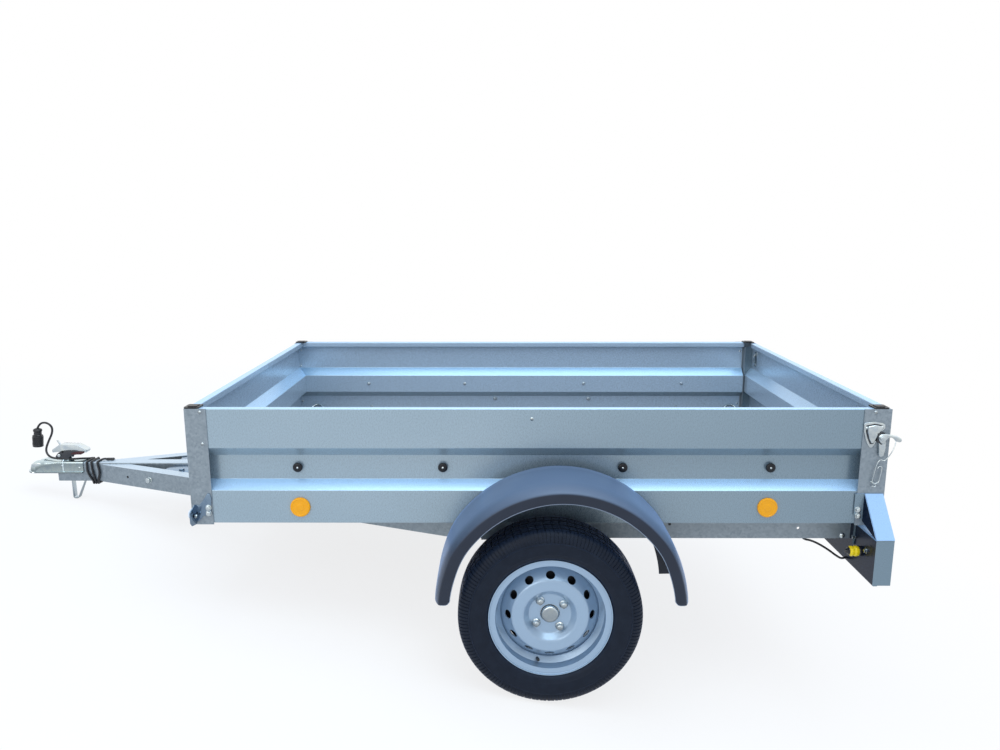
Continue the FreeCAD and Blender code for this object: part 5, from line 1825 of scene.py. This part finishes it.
@dataclass
class Coupling(SubAssembly):
    """Ball coupling: pressed head with its seam and studs, the grip on its levers, the rest loop."""

    stud_places: Outline = ((-1873.0, 470.0), (-1806.0, 462.0))
    side: float = 29.2
    cheek: Outline = ((-1895.0, 494.0), (-1900.0, 507.0), (-1890.0, 520.0), (-1874.0, 530.0),
                      (-1852.0, 532.0), (-1818.0, 530.0), (-1797.0, 524.0), (-1802.0, 517.0),
                      (-1830.0, 512.0), (-1848.0, 503.0), (-1850.0, 494.0))
    cheek_half: float = 17.0
    catch: Outline = ((-1838.0, 515.0), (-1834.0, 522.0), (-1812.0, 527.0), (-1790.0, 526.0),
                      (-1786.0, 521.0), (-1798.0, 515.0))
    catch_half: float = 14.0
    pivot: Steps = ((-26.0, 4.0), (-25.0, 6.0), (-22.0, 6.5), (-21.5, 5.0), (21.5, 5.0), (22.0, 6.5),
                    (25.0, 6.0), (26.0, 4.0))
    pivot_place: Point = (-1884.0, 0.0, 512.0)
    spring_ends: tuple[float, float] = (-1880.0, -1850.0)
    spring_z: float = 507.0
    spring_turns: int = 4
    spring_radius: float = 6.5
    spring_wire: float = 1.5
    lip: Line = (
        (-1988.0, 37.6, 446.5), (-1972.0, 34.8, 446.5), (-1945.0, 34.2, 446.5), (-1925.0, 32.0, 446.5),
        (-1900.0, 30.0, 446.5), (-1870.0, 30.0, 446.5), (-1793.0, 30.0, 446.5))
    lip_radius: float = 2.8
    seam: Line = (
        (-1869.5, 0.0, 496.6), (-1869.2, 14.0, 496.4), (-1868.8, 24.0, 494.0), (-1868.6, 28.6, 487.0),
        (-1868.8, 29.6, 474.0), (-1869.4, 29.8, 456.0), (-1869.8, 29.9, 445.0))
    seam_radius: float = 2.2
    dimples: Outline = ((-1972.0, 474.0),)
    dimple_seat: float = 30.2
    dimple_stretch: float = 2.4

    def spring(self) -> Piece:
        """Coil spring between the grip and the head.

        Returns:
            The spring.
        """
        start, end = self.spring_ends
        around = 10
        steps = around * self.spring_turns
        coil = []
        for step in range(steps + 1):
            angle = 2 * math.pi * step / around
            coil.append((start + (end - start) * step / steps, self.spring_radius * math.sin(angle),
                         self.spring_z + self.spring_radius * math.cos(angle)))
        return Bench.wire("lever_spring", coil, self.spring_wire)

    def mechanism(self) -> None:
        """Cheeks, spring, pivot and safety catch between the grip and the head."""
        cheek = Bench.plate("lever_cheek", self.cheek, thickness=4.0, bevel=0.8)
        parts = Bench.copies(cheek, [flank(side, self.cheek_half) for side in Side])
        pivot = Bench.turned("lever_pivot", self.pivot, 20)
        pivot.data.transform(seat(*self.pivot_place, RIGHT))
        self.fitter.fit(pivot, "zinc", material=self.finishes.bright)
        self.fitter.fit(Bench.joined("lock_levers", [*parts, self.spring()]), "zinc", smooth=40.0,
                        material=self.finishes.oiled)
        catch = Bench.plate("safety_catch", self.catch, thickness=9.0, bevel=1.5)
        places = [flank(side, self.catch_half) for side in Side]
        self.fitter.fit(Bench.repeated("safety_catches", catch, places), "black_plastic",
                        material=self.finishes.maroon)

    def build(self) -> None:
        """Build the coupling's pieces."""
        head = Bench.refined("pressed_head", "coupling_head", bevel=1.6, angle=35.0)
        self.fitter.fit(head, "zinc", instead_of=("coupling_head",), smooth=40.0, parked=True,
                        material=self.finishes.pressed)
        grip = Bench.refined("lock_grip", "coupling_handle", bevel=2.4, angle=28.0)
        self.fitter.fit(grip, "zinc", instead_of=("coupling_handle",), smooth=60.0, parked=True,
                        material=self.finishes.bright)
        stud = Fastener.dome("head_stud", radius=5.0, rise=2.6)
        self.fasten("head_studs", stud, both_hands(self.stud_places, self.side, 20.0))
        seams = [Bench.wire(name, [(x, side * y, z) for x, y, z in line], radius)
                 for name, line, radius in (("head_seam", self.seam, self.seam_radius),
                                            ("head_lip", self.lip, self.lip_radius)) for side in Side]
        # The lip and seam wires take the near-white zinc, a painted highlight along the head's edges.
        self.fitter.fit(Bench.joined("head_seams", seams), "zinc", material=self.finishes.highlight_zinc)
        boss = Fastener.dome("head_dimple", radius=9.0, rise=2.2)
        boss.data.transform(Matrix.Diagonal((1.0, self.dimple_stretch, 1.0, 1.0)))
        places = both_hands(self.dimples, self.dimple_seat, 90.0)
        self.fasten("head_dimples", boss, places, self.finishes.bright)
        self.mechanism()
        loop = Bench.refined("rest_strap", "rest_loop", bevel=0.8, angle=35.0)
        self.fitter.fit(loop, "zinc", instead_of=("rest_loop",), smooth=40.0, parked=True)


@dataclass
class Latch(SubAssembly):
    """Tailgate latches: pressed shield, cranked lever, hooked tongue and safety clip."""

    face: float = 668.4
    shield: Outline = (
        (951.0, 812.0), (958.0, 817.0), (982.0, 819.5), (1006.0, 816.0), (1015.0, 811.0), (1016.0, 799.0),
        (1007.0, 790.0), (999.0, 776.0), (988.0, 748.0), (981.0, 739.0), (975.0, 738.0), (968.0, 746.0),
        (959.0, 766.0), (953.0, 788.0))
    boss: Outline = (
        (961.0, 806.0), (983.0, 811.0), (1004.0, 807.0), (1007.0, 800.0), (999.0, 790.0), (990.0, 772.0),
        (981.0, 754.0), (975.0, 754.0), (967.0, 770.0), (961.0, 790.0))
    lever: Outline = (
        (992.0, 778.0), (1000.0, 784.0), (1014.0, 785.0), (1034.0, 781.0), (1050.0, 777.0), (1060.0, 772.0),
        (1064.0, 764.0), (1058.0, 758.5), (1047.0, 761.0), (1040.0, 769.0), (1030.0, 774.0), (1021.0, 772.0),
        (1015.0, 765.0), (1012.0, 752.0), (1000.0, 756.0), (994.0, 766.0))
    tongue: Outline = ((996.0, 764.0), (1018.0, 764.0), (1020.0, 738.0), (1016.0, 713.0), (1007.0, 710.0),
                       (1001.0, 714.0), (999.0, 738.0))
    # Dark plate a little wider than the boss, under it: a painted shadow round the boss.
    boss_shadow: Outline = (
        (958.0, 808.5), (983.0, 814.0), (1007.0, 809.5), (1010.5, 800.0), (1002.0, 788.0), (993.0, 770.0),
        (983.0, 750.0), (973.0, 750.0), (964.0, 769.0), (957.5, 790.0))
    # Dark plate behind the lever: a painted shadow under it.
    lever_shadow: Outline = (
        (990.0, 760.0), (990.0, 786.0), (1002.0, 788.0), (1014.0, 787.0), (1014.0, 755.0), (1004.0, 750.0))
    rivet_places: Outline = ((960.5, 800.0), (1006.0, 803.0), (977.0, 760.0))
    pivots: Outline = ((1003.0, 772.0),)
    clip_radius: float = 1.4
    clip: Line = (
        (1047.0, 681.0, 766.0), (1043.0, 686.0, 750.0), (1036.0, 687.0, 732.0), (1028.0, 684.0, 714.0),
        (1017.0, 680.0, 698.0), (1008.0, 678.0, 704.0), (1002.0, 677.0, 697.0), (997.0, 676.5, 685.0),
        (994.0, 676.0, 668.0), (990.0, 675.0, 640.0), (989.0, 675.0, 628.0), (996.0, 675.0, 625.0),
        (1006.0, 675.0, 628.0), (1010.0, 675.0, 632.0), (1013.0, 675.0, 655.0), (1016.0, 675.0, 677.0),
        (1012.0, 675.0, 681.0), (1005.0, 675.0, 680.0), (1003.0, 675.0, 674.0))
    clip_tail: Line = (
        (984.0, 674.5, 633.0), (992.0, 675.5, 629.0), (1000.0, 676.0, 622.0), (1002.0, 675.5, 616.0),
        (994.0, 675.0, 615.0), (988.0, 675.0, 619.0))

    def pressing(self, name: str, outline: Outline, lift: float, thickness: float,
                 bevel: float) -> list[Piece]:
        """A flat piece with rounded edges on both flanks.

        Args:
            name: Name of the piece.
            outline: Its outline along the trailer and upwards.
            lift: Distance of its back from the latch's face.
            thickness: Its thickness.
            bevel: Width of its rounded edges.

        Returns:
            The two pieces.
        """
        sheet = Bench.plate(name, outline, thickness, bevel, 3)
        return Bench.copies(sheet, [flank(side, self.face + lift) for side in Side])

    def build(self) -> None:
        """Build the latches."""
        bright = self.finishes.bright
        parts = self.pressing("latch_shield", self.shield, lift=0.0, thickness=3.0, bevel=1.0)
        # Dark oiled plates behind the boss and the lever, as painted shadows.
        shadow_plates = self.pressing("latch_boss_shadow", self.boss_shadow, lift=2.6, thickness=1.0, bevel=0.3)
        shadow_plates += self.pressing("lever_shadow", self.lever_shadow, lift=2.8, thickness=9.0, bevel=1.0)
        self.fitter.fit(Bench.joined("latch_shadows", shadow_plates), "zinc", material=self.finishes.oiled)
        parts += self.pressing("latch_boss", self.boss, lift=2.0, thickness=9.0, bevel=4.2)
        parts += self.pressing("latch_lever", self.lever, lift=3.0, thickness=15.0, bevel=3.2)
        parts += self.pressing("latch_tongue", self.tongue, lift=1.0, thickness=9.0, bevel=2.6)
        pivot = Fastener(across=13.0, head=4.0, washer=8.5, washer_sheet=2.0).hex_bolt("latch_pivot")
        parts += Bench.copies(pivot, both_hands(self.pivots, self.face + 17.5, 15.0))
        rivet = Fastener.dome("latch_rivet", radius=4.6, rise=2.6)
        parts += Bench.copies(rivet, both_hands(self.rivet_places, self.face + 3.2))
        self.fitter.fit(Bench.joined("tailgate_latches", parts), "zinc", instead_of=("latches",),
                        smooth=40.0, material=bright)
        wires = [Bench.wire("clip_wire", [(x, side * y, z) for x, y, z in line], self.clip_radius)
                 for side in Side for line in (self.clip, self.clip_tail)]
        self.fitter.fit(Bench.joined("safety_clips", wires), "zinc", material=bright)


@dataclass
class Tail(SubAssembly):
    """Rear lamps, their plug-in connectors, the harness, the latch keepers and the lamp bar's bolts."""

    bar_x: float = 988.0
    lamp_y: float = 622.0
    lamp_z: float = 393.0
    half_width: float = 110.0
    half_height: float = 66.0
    housing_depth: float = 20.0
    lens_depth: float = 28.0
    lens_foot: float = 19.5
    connector_y: float = 650.0
    connector: Steps = (
        (7.0, 12.0), (9.0, 15.0), (16.0, 17.5), (20.0, 17.5), (24.0, 15.0), (30.0, 17.0), (34.0, 16.5),
        (38.0, 12.0), (39.0, 9.0))
    collar: Steps = ((0.0, 15.5), (3.0, 16.0), (7.0, 16.0), (9.0, 14.5))
    neck: Steps = ((38.0, 12.0), (41.0, 11.5), (43.0, 8.0), (50.0, 4.2))
    bar_bolts: Outline = ((598.0, 420.0), (683.0, 410.0))
    keeper: Outline = ((-13.0, -34.0), (13.0, -34.0), (13.0, 34.0), (-13.0, 34.0))
    keeper_loop: Line = ((-8.0, -22.0, 1.0), (-8.0, -18.0, 9.0), (-8.0, 18.0, 9.0), (-8.0, 22.0, 1.0))
    keeper_rivet: tuple[float, float] = (5.0, 26.0)
    keeper_place: Point = (1032.2, 600.0, 785.0)
    loom: Line = (
        (836.0, -560.0, 407.0), (838.0, -560.0, 396.0), (870.0, -560.0, 391.0), (917.0, -560.0, 365.0),
        (958.0, -560.0, 334.0), (976.0, -558.0, 326.0), (988.0, -556.0, 332.0))
    loom_length: float = 0.178
    loom_diameter: float = 7.0

    def rounded(self, half_u: float, half_v: float, corner: float, steps: int = 4) -> Outline:
        """Outline of a rectangle with rounded corners.

        Args:
            half_u: Half its width.
            half_v: Half its height.
            corner: Corner radius.
            steps: Chords in a corner.

        Returns:
            The outline.
        """
        rows = []
        for quarter, (u, v) in enumerate(((1, 1), (-1, 1), (-1, -1), (1, -1))):
            for step in range(steps + 1):
                angle = math.radians(90.0 * quarter + 90.0 * step / steps)
                rows.append((u * (half_u - corner) + corner * math.cos(angle),
                             v * (half_v - corner) + corner * math.sin(angle)))
        return tuple(rows)

    def on_bar(self, lift: float, y: float, z: float, way: Point) -> list[Matrix]:
        """Places on the lamp bar, on both hands.

        Args:
            lift: Place along the trailer, in millimetres from the bar.
            y: Distance from the centre line.
            z: Height.
            way: Way that they face.

        Returns:
            The two places.
        """
        return [seat(self.bar_x + lift, side * y, z, way) for side in Side]

    def lamps(self) -> None:
        """Housing and three lens fields, the indicator outermost on each hand."""
        places = [place @ Matrix.Diagonal((side, 1, 1, 1))
                  for side, place in zip(Side, self.on_bar(2.3, self.lamp_y, self.lamp_z, REAR))]
        outline = self.rounded(self.half_width, self.half_height, 12.0)
        housing = Bench.plate("lamp_housing", outline, self.housing_depth, bevel=1.5)
        self.fitter.fit(Bench.repeated("lamp_housings", housing, places), "black_plastic",
                        instead_of=("rear_lamps",), material=self.finishes.knob)
        for name, offset, width, material in (("lamp_amber", 72.0, 66.0, self.finishes.amber),
                                              ("lamp_red", 0.0, 74.0, self.finishes.red),
                                              ("lamp_clear", -72.0, 66.0, self.finishes.clear)):
            outline = self.rounded(width / 2, self.half_height - 4.0, 8.0)
            field = Bench.plate(name, outline, self.lens_depth, bevel=3.0)
            field.data.transform(Matrix.Translation((offset * MM, 0.0, self.lens_foot * MM)))
            self.fitter.fit(Bench.repeated(name, field, places), "lamp_plastic", material=material)

    def connectors(self) -> None:
        """Yellow plug-in connectors with finger grips and black collars."""
        places = self.on_bar(-0.3, self.connector_y, self.lamp_z + 2.0, FRONT)
        body = Bench.turned("connector_body", self.connector, 9)
        Bench.bevel(body, 1.2, 2, 20.0)
        self.fitter.fit(Bench.repeated("connector_bodies", body, places), "yellow_plastic",
                        instead_of=("lamp_connectors",))
        collar = Bench.joined("collar", [Bench.turned("connector_collar", self.collar, 24),
                                         Bench.turned("connector_neck", self.neck, 16)])
        self.fitter.fit(Bench.repeated("connector_collars", collar, places), "cable_rubber")

    def harness(self) -> None:
        """Lighting harness, hanging from the left rail to the lamp bar."""
        line = [STANCE.point(*point) for point in self.loom]
        cord = Bench.cord("lamp_harness", line, self.loom_diameter / 2, 4, 12)
        cord.data.materials.append(self.finishes.cable)
        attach(cord, Body.CHASSIS.value)
        LOG.info("lamp_harness laid through %d points", len(line))

    def keepers(self) -> None:
        """Latch keepers riveted inside the tailgate, near its ends."""
        keeper = Bench.plate("latch_keeper", self.keeper, thickness=2.0, bevel=0.5)
        loop = Bench.wire("keeper_loop", self.keeper_loop, 2.0)
        rivet = Fastener.dome("keeper_rivet", radius=4.2, rise=4.2)
        x, y = self.keeper_rivet
        twin = Bench.copies(rivet, [Matrix.Translation((x * MM, end * y * MM, 0.0)) for end in (1, -1)])
        part = Bench.joined("latch_keeper", [keeper, loop, *twin])
        x, y, z = self.keeper_place
        places = [seat(x, side * y, z, FRONT) for side in Side]
        self.fitter.fit(Bench.repeated("gate_keepers", part, places), "zinc", Body.TAILGATE,
                        material=self.finishes.bright)

    def build(self) -> None:
        """Build the tail's pieces."""
        self.lamps()
        self.connectors()
        self.harness()
        self.keepers()
        bolt = Fastener().hex_bolt("bar_bolt")
        places = [seat(self.bar_x - 0.2, side * y, z, FRONT) for side in Side for y, z in self.bar_bolts]
        self.fasten("bar_bolts", bolt, places)


def main() -> None:
    """Build the scene in order."""
    logging.basicConfig(level=logging.INFO)
    Studio().build()
    fitter = Fitter(Finishes())
    fitter.dress_nodes()
    Lead(fitter).build()
    for side in Side:
        Wheel(fitter, side).build()
        Fender(fitter, side).build()
    for assembly in (Hardware, WallButtons, Coupling, Latch, Tail):
        assembly(fitter).build()


if __name__ == "__main__":
    main()
